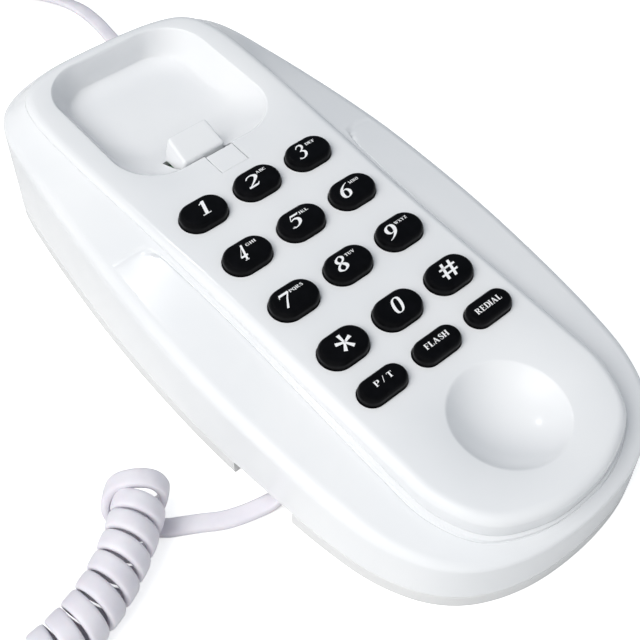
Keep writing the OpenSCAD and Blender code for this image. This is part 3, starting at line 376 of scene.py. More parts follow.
def helix(samples):
    """Curls round the axis, from turn 1 on: centre + r cos f right + r sin f up, f = 360 turns - 90."""
    turns = np.arange(samples, CURLS * samples + 1) / samples
    centre, angle = coil_axis(turns * CURL_PITCH)
    f = 2 * np.pi * turns - np.pi / 2
    flat = centre + CURL_R * np.cos(f)[:, None] * right_of(angle)
    across = np.stack([np.cos(np.radians(angle)), np.sin(np.radians(angle)), 0 * angle], axis=1)
    return np.column_stack([flat, CURL_Z + lifted(turns * CURL_PITCH) + CURL_R * np.sin(f)]), across


# %% Handset cord
curls, curl_side = helix(24)
rough_curls = helix(8)[0]
first_in = np.append(unit(rough_curls[1, :2] - rough_curls[0, :2]), 0)
last_out = np.append(unit(rough_curls[-1, :2] - rough_curls[-2, :2]), 0)
curl_last = curls[-1] + 4.6 * last_out
base_tail = open_curve([[-40, -47, 5.3], [-42, -47, 5.3], [-45, -47.1, 4.4], [-49, -47.2, 3.0],
                        [-55.2, -45.5, 1.8], [-62.5, -42.8, 1.45], [-68.6, -39.0, 1.45],
                        beside(8.3, -7.0, 1.45)], 6)
first_turn = open_curve([beside(*p) for p in (
    (8.3, -7.0, 1.45), (8.6, -2.5, 1.45), (8.6, 2.6, 1.5), (8.0, 6.6, 3.6), (6.9, 8.5, 7.6),
    (5.4, 8.0, 11.7), (3.6, 5.7, 14.5), (2.8, 1.2, 15.6), (2.5, -3.4, 14.4), (3.0, -5.7, 10.6),
    (4.2, -4.6, 6.6))] + [curls[0] - 1.5 * first_in, curls[0]], 7)[1:]
far_tail = open_curve([curl_last, curl_last + 1.5 * last_out, [-183, 174.5, 1.45], [-180.4, 181, 1.6],
                       [-178.6, 190, 2.6], [-173, 199, 4.8], [-163, 204.5, 7.6], [-153, 203, 10.2],
                       [-147.4, 196.5, 11.7], [-146, 188, 12], [-146, 186, 12]], 6)


def level_side(path):
    """Sideways and level: up x direction, so that the band lies flat."""
    return unit(np.cross([0, 0, 1], np.gradient(path, axis=0)))


def rolled(path, side, degrees):
    """The side direction turned about the path by an angle at each point."""
    ahead = unit(np.gradient(path, axis=0))
    a = np.radians(degrees)[:, None]
    return np.cos(a) * side + np.sin(a) * np.cross(ahead, side)


tail_roll = 50 * ease((base_tail[:, 2] - 2.2) / 1.5) * ease(np.linspace(0, 1, len(base_tail)) / 0.1)
near_side = rolled(base_tail, level_side(base_tail), tail_roll)
along_axis = np.tile(curl_side[0], (len(first_turn), 1))
cord_path, cord_side = spaced(np.vstack([base_tail, first_turn, curls, far_tail]),
                              np.vstack([near_side, along_axis, curl_side, level_side(far_tail)]))
handset_cord = band("curly_handset_cord", cord_path, cord_side, CURL_W, CURL_T, VINYL)
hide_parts("base_cord_tail", "curly_cord", "handset_cord_tail")
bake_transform(handset_cord)
print("handset cord, m:", round(run_length(cord_path) * MM, 3))

# %% [markdown]
# ## The line cord
# The flat line cord leaves the ear end, runs back over the desk and is put away in a round coil in
# two layers: out in the lower one, up, and in again in the upper one. Its width stands upright in
# the coil, as a flat cord does when it is wound, so it turns a quarter on the way.

# %% Line cord
LINE_W, LINE_T = 5.0, 2.4
LOOP_R, ADVANCE, RISE = 18.5, 3.0, 5.6
MIDDLE = np.array([34.0, 241.0])


def coil_points(samples):
    """Angle 180 - 360 t, radius 18.5 + 3 |t - 6.25|, rising by 5.6 between t = 6 and 6.5, t in turns."""
    t = np.arange(int(12.5 * samples) + 1) / samples
    a = np.radians(180 - 360 * t)
    radius = LOOP_R + ADVANCE * np.abs(t - 6.25)
    z = 1.2 + LINE_W / 2 + RISE * np.clip((t - 6) / 0.5, 0, 1)
    return np.column_stack([MIDDLE[0] + radius * np.cos(a), MIDDLE[1] + radius * np.sin(a), z])


loops = coil_points(48)
coil_start = loops[0] - [0, 5, 0]
coil_end = loops[-1] - [0, 5, 0]
lead = open_curve([[27, 96, 9.2], [27, 99, 9.2], [27, 104, 9], [27.5, 112, 8], [28, 120, 5.8],
                   [28.8, 130, 3.2], [29.5, 140, 2], [30.2, 148, 1.8], [31.6, 160, 1.8], [31.4, 172, 1.8],
                   [28, 182, 2], [21, 192, 2.4], [11, 201.5, 3], [3, 212, 3.4], [-1, 223, 3.6],
                   coil_start - [0, 2, 0], coil_start], 4)
end_x = coil_end[0] + 1
last_run = open_curve([coil_end, coil_end - [0, 2, 0], coil_end - [0, 6, 1.4], coil_end - [-0.6, 12, 4.2],
                       [end_x, 216, 3.1], [end_x, 210, 3.1], [end_x, 208, 3.1]], 5)


def turning(path, start):
    """Side direction that goes from level to upright: cos f side + sin f up, f easing from start on."""
    f = np.radians(90) * np.clip((np.linspace(0, 1, len(path)) - start) / (1 - start), 0, 1)
    return np.cos(f)[:, None] * level_side(path) + np.sin(f)[:, None] * np.array([0, 0, 1.0])


upright = np.tile([0, 0, 1.0], (len(loops), 1))
line_path, line_side = spaced(np.vstack([lead[:-1], coil_start[None], loops, last_run]),
                              np.vstack([turning(lead, 0.55), upright, turning(last_run[::-1], 0.2)[::-1]]))
line_cord = band("flat_line_cord", line_path, line_side, LINE_W, LINE_T, VINYL, sides=12)
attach(line_cord, "base")
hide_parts("line_cord_lead", "line_cord_coil", "line_cord_end")
print("line cord, m:", round(run_length(line_path) * MM, 3))

# %% [markdown]
# ## Light and ground
# A product on a white sweep is lit by one broad soft lamp from the caller's side and a pale room.
# The broad lamp is left out of reflections, so that the gloss shows the room and one small glint.
# The ground is white; a little of its own light for the eye alone takes it to paper white while it
# still keeps the object's shadow.

# %% Lamps
def area_lamp(name, place, aim, size, watts, colour=(1, 1, 1)):
    """A square soft lamp at place that looks at aim; watts is its power."""
    data = bpy.data.lights.new(name, "AREA")
    data.shape = "SQUARE"
    data.size = size
    data.energy = watts
    data.color = colour
    lamp = bpy.data.objects.new(name, data)
    lamp.location = place
    lamp.rotation_euler = (Vector(aim) - Vector(place)).to_track_quat("-Z", "Y").to_euler()
    bpy.context.collection.objects.link(lamp)
    return lamp


key_lamp = area_lamp("key_lamp", (-0.66, -0.05, 0.86), (0, 0, 0), 0.8, 10.0, (1, 0.985, 0.955))
key_lamp.visible_glossy = False
area_lamp("glint_lamp", (0.04, 0.43, 0.82), (0, -0.08, 0.03), 0.04, 0.25)

# %% The pale room
bpy.context.scene.view_settings.view_transform = "Standard"
world = bpy.data.worlds.new("pale_room")
bpy.context.scene.world = world
world.use_nodes = True
tree = world.node_tree
room = tree.nodes["Background"]
toward = add_node(tree, "TexCoord")
turned = add_node(tree, "Mapping", Rotation=(0, 0, math.radians(-30)))
parted = add_node(tree, "SeparateXYZ")
spread = add_node(tree, "MapRange", From_Min=-1)
shade = add_ramp(tree, (0.1, 0.9), (0.54, 0.56, 0.575), (0.17, 0.205, 0.25))
paper = add_node(tree, "Background", Color=(1, 1, 1, 1), Strength=1)
ray = add_node(tree, "LightPath")
either = add_node(tree, "Math")
either.operation = "MAXIMUM"
mixed = add_node(tree, "MixShader")
wire(tree, (toward, "Generated", turned, "Vector"), (turned, "Vector", parted, "Vector"),
     (parted, "X", spread, "Value"), (spread, "Result", shade, "Fac"), (shade, "Color", room, "Color"),
     (ray, "Is Camera Ray", either, 0), (ray, "Is Transmission Ray", either, 1), (either, 0, mixed, "Fac"),
     (room, 0, mixed, 1), (paper, 0, mixed, 2), (mixed, 0, tree.nodes["World Output"], "Surface"))
print("room nodes:", len(tree.nodes))

# %% Ground
GROUND_GLOW, GROUND_REACH, GROUND_Z = 0.6, 2000, -0.02
ground_finish = finish_of("white_paper", (0.80, 0.80, 0.80), (0.82, 0.82, 0.82), rough=(0.7, 0.8), patch=4,
                          grain=300, bump=0.0)
tree = ground_finish.node_tree
shader = tree.nodes["Principled BSDF"]
glow = add_node(tree, "Emission", Strength=GROUND_GLOW)
only_eye = add_node(tree, "LightPath")
seen = add_node(tree, "MixShader")
added = add_node(tree, "AddShader")
wire(tree, (shader, 0, added, 0), (glow, 0, added, 1), (only_eye, "Is Camera Ray", seen, "Fac"),
     (shader, 0, seen, 1), (added, 0, seen, 2), (seen, 0, tree.nodes["Material Output"], "Surface"))
corners = np.array([[x * GROUND_REACH, y * GROUND_REACH, GROUND_Z]
                    for x, y in ((-1, -1), (1, -1), (1, 1), (-1, 1))])
ground = make_mesh("ground", corners, [np.array([[0, 1, 2, 3]])], ground_finish)
print("ground, m:", 2 * GROUND_REACH * MM, "square")

# %% [markdown]
# ## The outlines of the base
# Seen from above the base is a long rounded shield, and the raised middle a narrower one. Both are
# given by a dozen points down one side and mirrored, and a smooth closed curve runs through them.
# The same points serve at every level, so the rings of a wall always match one to one.

# %% Outlines
BASE_LEN, BASE_W, PLATE_LEN, PLATE_W, PLATE_MID = 215.0, 104.6, 204.0, 70.0, -22.0
TILT, DECK_Y, DECK_Z = math.radians(3.8), 20.0, 35.0
SIDE_LEAN, EDGE_R, SEAM, WALL = 0.6, 3.4, 5.0, 2.0
SPAN = 72
BASE_HALF = [[0, 1], [0.344, 0.99], [0.642, 0.941], [0.806, 0.842], [0.889, 0.637], [0.9665, 0.312],
             [1, 0.02], [0.994, -0.28], [0.929, -0.617], [0.83, -0.794], [0.65, -0.911], [0.363, -0.979],
             [0, -1]]
PLATE_HALF = [[0, 1], [0.543, 0.989], [0.863, 0.944], [0.997, 0.832], [1.014, 0.62], [0.983, 0.313],
              [0.943, -0.077], [0.929, -0.368], [0.914, -0.64], [0.886, -0.796], [0.7, -0.9216],
              [0.343, -0.985], [0, -1]]


def outline(half, width, length, steps=SPAN):
    """The half outline mirrored: (-x, y) down the left side, (x, y) back up the right, made smooth."""
    p = np.array(half, dtype=float)
    return closed_curve(np.vstack([p * [-1, 1], p[-2:0:-1]]), steps) * [width / 2, length / 2]


def moved_in(p, d):
    """Each point moved by d along the inward normal (-ty, tx) of a closed anticlockwise outline."""
    t = unit(np.roll(p, -1, axis=0) - np.roll(p, 1, axis=0))
    return p + np.reshape(d, (-1, 1)) * np.stack([-t[:, 1], t[:, 0]], axis=1)


def slim(y):
    """Share of the shoulder's width left: 1 as far as y = -70, down to 0.4 at the mouth end."""
    return 1 - 0.6 * np.clip((-70 - y) / 37.5, 0, 1) ** 1.1


def step_at(y):
    """Height of the step round the raised middle: 7.2 at the mouth end, easing down to 1.4."""
    v = 7.2 - (y + 107.5) * 5.8 / 129 - 1.4
    return 1.4 + 0.5 * (v + np.sqrt(v * v + 0.1))


def shoulder_z(y):
    """Deck height at y, less the step and less the fall to the outer edge (1.4 to 3.5)."""
    return DECK_Z + (y - DECK_Y) * math.tan(TILT) - step_at(y) - (1.4 + 2.1 * (y + 107.5) / 215)


def on_deck(x, y, z):
    """Deck coordinates turned by the tilt about X and lifted to the 2 key."""
    c, s = math.cos(TILT), math.sin(TILT)
    return np.stack([x, DECK_Y + y * c - z * s, DECK_Z + y * s + z * c], axis=-1)


def flat_ring(p, z):
    """A plane outline at height z, one number or one for each point."""
    return np.column_stack([p, np.broadcast_to(z, len(p))])


base_out = outline(BASE_HALF, BASE_W, BASE_LEN)
plate_out = outline(PLATE_HALF, PLATE_W, PLATE_LEN) + [0, PLATE_MID]
narrow = slim(base_out[:, 1])
print("outline points:", len(base_out), "perimeter, mm:", round(run_length(base_out), 1))

# %% [markdown]
# ## The upper shell
# One moulding carries the side wall, the rounded edge and the shoulder. It is a loft: each ring is
# the outline moved in a little more, and its height comes from the slope of the deck. The wing
# panels are a hollow of about half a millimetre that stays 1.4 mm clear of the step, so that a fine bead
# is left standing beside it. Lofting from one formula keeps the highlight along the edge unbroken,
# which a bevelled block could not.

# %% Upper shell: helpers
SEAM_IN = SIDE_LEAN * SEAM / 32
PANEL_BEAD, PANEL_ROUND, PANEL_BEND, PANEL_BEND_Y = 1.4, 4.5, 9.5, -5
HOLLOW, GROOVE, GROOVE_W, SLOPE = (0.1, 0.22), 0.3, 0.42, 0.32


def wall_ring(d, z, fixed=0.0):
    """The base outline moved in by d (less towards the mouth end) at height z."""
    return flat_ring(moved_in(base_out, d * narrow + fixed), z)


def width_share(width):
    """Share of full size that the panel's bead and groove have on a shoulder of that width."""
    return np.clip(width / 7, 0.12, 1)


def panel_hollow(y, s, width):
    """Depth of the wing panel at deck coordinate y, s from the step, on a shoulder of that width.

    The panel's edge runs PANEL_BEAD from the step and closes at its far end in a quarter ellipse,
    u^2 + v^2 = 1. q is the distance inside it. A fine groove follows the edge, and the floor comes back
    up in proportion towards the outer edge."""
    k = width_share(width)
    u = 1 - np.minimum(s / k - PANEL_BEAD, PANEL_ROUND) / PANEL_ROUND
    v = np.maximum((y - PANEL_BEND_Y) / PANEL_BEND, 0)
    q = PANEL_ROUND * (1 - np.hypot(u, v))
    outer = 1 - np.clip((s - 1.75 * k) / (width - 1.75 * k), 0, 1)
    groove = GROOVE * (1 - ease((q - GROOVE_W) / 0.4))
    return np.sqrt(k) * ease(q / SLOPE) * (HOLLOW[0] + HOLLOW[1] * outer + groove) * np.sqrt(outer)


# %% Upper shell
shoulder = shoulder_z(base_out[:, 1])
drop = EDGE_R * narrow
foot = wall_ring(SEAM_IN, SEAM + 0.12)
side = wall_ring(SIDE_LEAN, shoulder - drop)
brow = wall_ring(SIDE_LEAN + EDGE_R, shoulder)
opening = moved_in(plate_out, -0.02)
lip = on_deck(opening[:, 0], opening[:, 1], -step_at(opening[:, 1] + DECK_Y))
inward = unit(lip - brow)
width = np.linalg.norm(lip[:, :2] - brow[:, :2], axis=1)
pull = 0.58 * drop[:, None]
rings = [wall_ring(SEAM_IN, SEAM, 0.12), foot]
rings += [foot + (side - foot) * f for f in (0.02, 0.25, 0.5, 0.75, 0.93)]
for t in np.linspace(0, 1, 11):
    rings.append((1 - t) ** 3 * side + 3 * (1 - t) ** 2 * t * (side + [0, 0, 1] * pull)
                 + 3 * (1 - t) * t ** 2 * (brow - inward * pull) + t ** 3 * brow)
scale = width_share(width)
near = [2.7, 2.3, 2.15, 2.02, 1.9, 1.8, 1.72, 1.64, 1.56, 1.48, 1.4, 0.9, 0.4, 0.15]
stops = [width + (near[0] * scale - width) * f for f in (0.04, 0.12, 0.3, 0.5, 0.7, 0.88)]
stops += [v * scale for v in near]
for s in stops:
    ring = lip + (brow - lip) * (s / width)[:, None]
    ring[:, 2] -= panel_hollow(ring[:, 1] - DECK_Y, s, width)
    rings.append(ring)
thin = np.where((drop > WALL)[:, None], wall_ring(SIDE_LEAN + EDGE_R, 0, 0.3),
                wall_ring(SIDE_LEAN, 0, WALL + 0.3))
rings += [lip + [0, 0, -0.06], lip + [0, 0, -WALL], thin + [0, 0, 1] * (shoulder - WALL)[:, None],
          wall_ring(SIDE_LEAN, shoulder - np.maximum(drop, WALL) - 0.6, WALL), wall_ring(SEAM_IN, SEAM, WALL)]
table = np.array(rings)
upper_shell = make_mesh("upper_shell_skin", table.reshape(-1, 3),
                        [ring_faces(len(table), len(base_out), joined=True)], WHITE, sharp=50)
print("upper shell rings x points:", table.shape[:2])

# %% [markdown]
# ## Cutting openings
# A slot or a cable hole is cut with the exact Boolean and then kept as plain faces, so the piece
# carries no live cutter. Every cutter is a small lofted prism.

# %% Helpers: cutting
def prism(ring, z0, z1, name="cutter"):
    """A closed prism over a plane outline, from z0 to z1."""
    return loft(name, [flat_ring(ring, z0), flat_ring(ring, z1)], WHITE)


def rect(x0, x1, y0, y1, r=0.0, n=6):
    """Rectangle with corner radius r, n steps to a corner, anticlockwise."""
    if r == 0:
        return np.array([[x1, y0], [x1, y1], [x0, y1], [x0, y0]], dtype=float)
    a = np.radians(np.linspace(0, 90, n + 1))
    quarter = np.stack([np.cos(a), np.sin(a)], axis=1) * r
    corner = [(x1 - r, y1 - r, 0), (x0 + r, y1 - r, 90), (x0 + r, y0 + r, 180), (x1 - r, y0 + r, 270)]
    turned = []
    for cx, cy, turn in corner:
        c, s = math.cos(math.radians(turn)), math.sin(math.radians(turn))
        turned.append(quarter @ np.array([[c, s], [-s, c]]) + [cx, cy])
    return np.vstack(turned)


def round_ring(x, y, r, n=32):
    """Circle about (x, y), anticlockwise."""
    a = 2 * np.pi * np.arange(n) / n
    return np.stack([x + r * np.cos(a), y + r * np.sin(a)], axis=1)


def tilt_mesh(piece):
    """Turns a mesh made in deck coordinates to the part's frame."""
    piece.data.transform(Matrix.Translation((0, DECK_Y * MM, DECK_Z * MM)) @ Matrix.Rotation(TILT, 4, "X"))
    return piece


def carve(piece, others, sharp=35, how="DIFFERENCE"):
    """Takes the others out of the piece (or joins them to it) and keeps the result as its mesh."""
    for other in others:
        step = piece.modifiers.new("carve", "BOOLEAN")
        step.operation = how
        step.solver = "EXACT"
        step.object = other
    result = bpy.data.meshes.new_from_object(piece.evaluated_get(bpy.context.evaluated_depsgraph_get()))
    piece.modifiers.clear()
    piece.data = result
    result.polygons.foreach_set("use_smooth", np.ones(len(result.polygons), dtype=bool))
    result.set_sharp_from_angle(angle=math.radians(sharp))
    for other in others:
        bpy.data.objects.remove(other)
    return piece


def hole_circle(x, y, reach, count, r, n):
    """Round outlines of radius r, evenly on a circle of radius reach about (x, y)."""
    return [round_ring(x + reach * math.cos(a), y + reach * math.sin(a), r, n)
            for a in np.radians(np.arange(0, 360, 360 / count))]


# %% Line jack opening, and the upper shell's place
jack_opening = prism(rect(21, 33, 85, 115.5), 3.5, 12.8)
carve(upper_shell, [jack_opening])
stand_in(upper_shell, "base", "upper_shell")
print("upper shell faces:", len(upper_shell.data.polygons))

# %% [markdown]
# ## The raised middle: ear recess, mouth dish, key holes
# The deck is flat, so only its openings need care. The outer edge rolls over a quarter ellipse, the
# ear recess is a stack of rounded rectangles whose size and depth follow one smooth curve, and the
# mouth dish is part of a ball. The flat between them is filled by a constrained triangulation, so
# every rim is an exact edge, and the whole is one closed skin with a wall.

# %% Deck helpers
def pill(cx, cy, length, wid, n=20):
    """Stadium: two half circles of the width joined by straight sides."""
    a = np.radians(np.linspace(-90, 90, n + 1))
    end = np.stack([np.cos(a), np.sin(a)], axis=1) * wid / 2
    half = (length - wid) / 2
    return np.vstack([end + [half, 0], -end - [half, 0]]) + [cx, cy]


def rounded_ring(w, l, r, y, n=24):
    """Rounded rectangle w x l with corner radius r about (0, y)."""
    return rect(-w / 2, w / 2, y - l / 2, y + l / 2, r, n)


def filled(loops):
    """Triangles between closed loops, outer first and holes after, seen from above.

    Indices run through the loops in turn. The holes are convex, so a triangle with all its corners on one
    hole lies inside it and is left out."""
    points = np.vstack([p[:, :2] for p in loops])
    first = np.concatenate([[0], np.cumsum([len(p) for p in loops])])
    edges = np.vstack([np.stack([np.arange(len(p)), (np.arange(len(p)) + 1) % len(p)], axis=1) + f
                       for p, f in zip(loops, first)])
    found = delaunay_2d_cdt([Vector(p) for p in points.tolist()], edges.tolist(), [], 2, 1e-7)
    source = np.array([ids[0] for ids in found[3]])
    tri = source[np.array(found[2])]
    loop = np.searchsorted(first[1:], tri, side="right")
    tri = tri[~((loop[:, 0] == loop[:, 1]) & (loop[:, 1] == loop[:, 2]) & (loop[:, 0] > 0))]
    a, b, c = points[tri[:, 0]], points[tri[:, 1]], points[tri[:, 2]]
    area = (b[:, 0] - a[:, 0]) * (c[:, 1] - a[:, 1]) - (b[:, 1] - a[:, 1]) * (c[:, 0] - a[:, 0])
    tri[area < 0] = tri[area < 0][:, ::-1]
    return tri


KEY_DX, KEY_LEN, KEY_WID, FUNCTION_WID, KEY_H = 19.0, 14.6, 9.8, 7.4, 2.7
KEY_ROWS = [0, -19.4, -38.8, -58.2, -72.8]
ROW_WID = [KEY_WID] * 4 + [FUNCTION_WID]
KEY_GAP, PLATE_T = 0.25, 2.2
DISH_Y, DISH_R, DISH_D, DISH_T, DISH_N = -98.2, 15.8, 6.0, 1.7, 96
recess_table = open_curve([  # width, length, corner radius, y, z
    [54, 58, 15.3, 47.1, 0], [53.6, 57.6, 15.1, 47.1, -0.08], [52.9, 56.8, 14.8, 47.2, -0.5],
    [51.9, 55.6, 14.5, 47.5, -1.4], [49.4, 51.2, 13.6, 49.2, -3.6], [46.4, 45, 12.6, 51.9, -6.1],
    [43.6, 38.4, 11.6, 54.7, -8.1], [40.4, 32.4, 10.6, 57.2, -8.9], [35, 26, 9, 57.8, -9]], 5)


def dish_ring(t, grow=0.0):
    """Ring of the dish: radius R sin a, height R (1 - cos a) - depth, with a = t x the rim's angle."""
    ball = (DISH_R ** 2 + DISH_D ** 2) / (2 * DISH_D)
    a = t * math.asin(DISH_R / ball)
    r = (ball + grow) * math.sin(a)
    return flat_ring(round_ring(0, DISH_Y, r, DISH_N), ball - DISH_D - (ball + grow) * math.cos(a))


# %% Deck plate: what it is assembled from
step = step_at(plate_out[:, 1] + DECK_Y)
roll_x, roll_z = 3.0, np.minimum(2.6, step + 0.15)
flange = -step - WALL - 1.5
top_ring = moved_in(plate_out, roll_x)
under_ring = moved_in(plate_out, WALL + 0.05)
holes = [pill(c * KEY_DX, y, KEY_LEN + 2 * KEY_GAP, wid + 2 * KEY_GAP)
         for y, wid in zip(KEY_ROWS, ROW_WID) for c in (-1, 0, 1)]
parts, faces = [], []


def add_rings(rings, flip=False):
    """Puts rings and the faces between them into the plate; returns the start of the first and the last."""
    start, n = sum(len(p) for p in parts), len(rings[0])
    parts.append(np.vstack(rings))
    quads = ring_faces(len(rings), n, start)
    faces.append(quads[:, ::-1] if flip else quads)
    return start, start + (len(rings) - 1) * n


def join_fill(loops, starts, flip=False):
    """A flat fill between rings that are already in the plate."""
    first = np.cumsum([0] + [len(p) for p in loops])
    tri = filled(loops)
    tri = tri + np.concatenate([np.full(len(p), s - f) for p, s, f in zip(loops, starts, first)])[tri]
    faces.append(tri[:, ::-1] if flip else tri)


def close_dish(z, rim, outward=True):
    """Closes the dish with triangles to one point at its bottom."""
    faces.append(fan_faces(add_rings([np.array([[0, DISH_Y, z]])])[0], rim, DISH_N, outward))


print("openings in the deck:", len(holes) + 2)

# %% Deck plate
rolled_edge = [flat_ring(moved_in(plate_out, roll_x * (1 - math.sin(a))), -roll_z * (1 - math.cos(a)))
               for a in np.radians(np.linspace(90, 0, 13))]
wall_rings = [flat_ring(moved_in(plate_out, d), z) for d, z in (
    (WALL + 0.05, -PLATE_T), (WALL, flange - 1.6), (-0.3, flange - 1.6), (-0.3, flange), (0, flange),
    (0, (flange - roll_z) / 2))]
under_start, top_start = add_rings(wall_rings + rolled_edge)
recess_rings = [flat_ring(rounded_ring(*row[:4]), row[4]) for row in recess_table]
recess_start, floor_start = add_rings(recess_rings)
join_fill([recess_rings[-1]], [floor_start])
bowl = [flat_ring(rounded_ring(row[0] + g, row[1] + g, row[2], row[3]), row[4] - 1.6)
        for row, g in zip(recess_table[9::4], np.linspace(1.4, 1.5, len(recess_table[9::4])))]
bowl.insert(0, flat_ring(bowl[0][:, :2], -PLATE_T))
bowl_start, bowl_end = add_rings(bowl, flip=True)
join_fill([bowl[-1]], [bowl_end], flip=True)
dish = [flat_ring(round_ring(0, DISH_Y, DISH_R + 0.35, DISH_N), 0)]
dish += [dish_ring(t) for t in (0.985, *np.linspace(0.95, 0.05, 19))]
dish_start, dish_end = add_rings(dish)
close_dish(-DISH_D, dish_end)
dish_under = [flat_ring(round_ring(0, DISH_Y, DISH_R + 1.6, DISH_N), -PLATE_T)]
dish_under += [dish_ring(t, DISH_T) for t in (0.85, 0.6, 0.35, 0.1)]
under_dish_start, under_dish_end = add_rings(dish_under, flip=True)
close_dish(-DISH_D - DISH_T, under_dish_end, outward=False)
tops = [moved_in(hole, -0.12) for hole in holes]
hole_tops, hole_lows = zip(*(add_rings([flat_ring(top, 0), flat_ring(hole, -0.12), flat_ring(hole, -PLATE_T)])
                             for top, hole in zip(tops, holes)))
join_fill([top_ring, recess_rings[0], dish[0], *tops], [top_start, recess_start, dish_start, *hole_tops])
join_fill([under_ring, bowl[0], dish_under[0], *holes],
          [under_start, bowl_start, under_dish_start, *hole_lows], flip=True)
deck_plate = make_mesh("deck_plate_skin", np.vstack(parts), faces, WHITE, sharp=40)
plunger_slot = prism(rect(-12.9, 3.4, 18.6, 28.6, 0.4, 3), -14, 1)
hanger_slot = prism(rect(-4.95, 5.05, 9.9, 19), -14, 1)
carve(deck_plate, [plunger_slot, hanger_slot], sharp=40)
tilt_mesh(deck_plate)
stand_in(deck_plate, "base", "face_plate")
print("deck plate faces:", len(deck_plate.data.polygons))

# %% [markdown]
# ## Keys
# A key is a small moulded pill: a collar under the plate keeps it in, the sides rise straight and
# the edge of the top is broken by a short soft chamfer. One ring table describes the digit keys and
# the narrower function keys alike; each key is its own piece, because each one travels.

# %% Keys
KEY_NAMES = [["1", "2", "3"], ["4", "5", "6"], ["7", "8", "9"], ["star", "0", "hash"],
             ["pulse_tone", "flash", "redial"]]
STEM_R, STEM_Z, COLLAR_Z, CHAMFER = 2.5, -5.8, (-3.5, -2.3), 1.15


def key_mesh(name, cx, cy, wid):
    """Rings from the stem up: stem, collar, straight side, soft chamfer 1 wide, crown of 0.05."""
    def ring(grow, z):
        return flat_ring(pill(cx, cy, KEY_LEN + 2 * grow, wid + 2 * grow), z)
    outer = ring(0, 0)
    angle = np.arctan2(outer[:, 1] - cy, outer[:, 0] - cx)
    stem = np.stack([cx + STEM_R * np.cos(angle), cy + STEM_R * np.sin(angle)], axis=1)
    low, high = COLLAR_Z
    shoulder_at = KEY_H - CHAMFER
    rings = [flat_ring(stem, STEM_Z), flat_ring(stem, low), ring(0.8, low), ring(0.8, high), ring(0, high),
             ring(0, 0.8), ring(0, shoulder_at)]
    for a in np.radians(np.linspace(0, 90, 9))[1:]:
        rings.append(ring(-1.0 * (1 - math.cos(a)) ** 0.8, shoulder_at + CHAMFER * math.sin(a) ** 1.25))
    rings += [ring(-1.6, KEY_H + 0.02), ring(-2.6, KEY_H + 0.04)]
    return tilt_mesh(fan_loft(name, rings, [cx, cy, STEM_Z], [cx, cy, KEY_H + 0.05], BLACK, 55))


key_places = {label: ((col - 1) * KEY_DX, y, wid) for names, y, wid in zip(KEY_NAMES, KEY_ROWS, ROW_WID)
              for col, label in enumerate(names)}
for label, place in key_places.items():
    cap = key_mesh(f"key_{label}_cap_moulding", *place)
    stand_in(cap, f"key_{label}_cap", f"key_{label}")
print("keys:", len(key_places))

# %% [markdown]
# ## The printed figures
# The figures are pad-printed in a bold book face with thick stems, thin turns and small feet, and
# they lean a little. Each one is drawn here as a few pen strokes with a width at every point, run
# smooth and turned into a thin raised ribbon. A font file would be needed for the same letters as
# text, and a pen stroke is easier to thicken where the print is heavy.

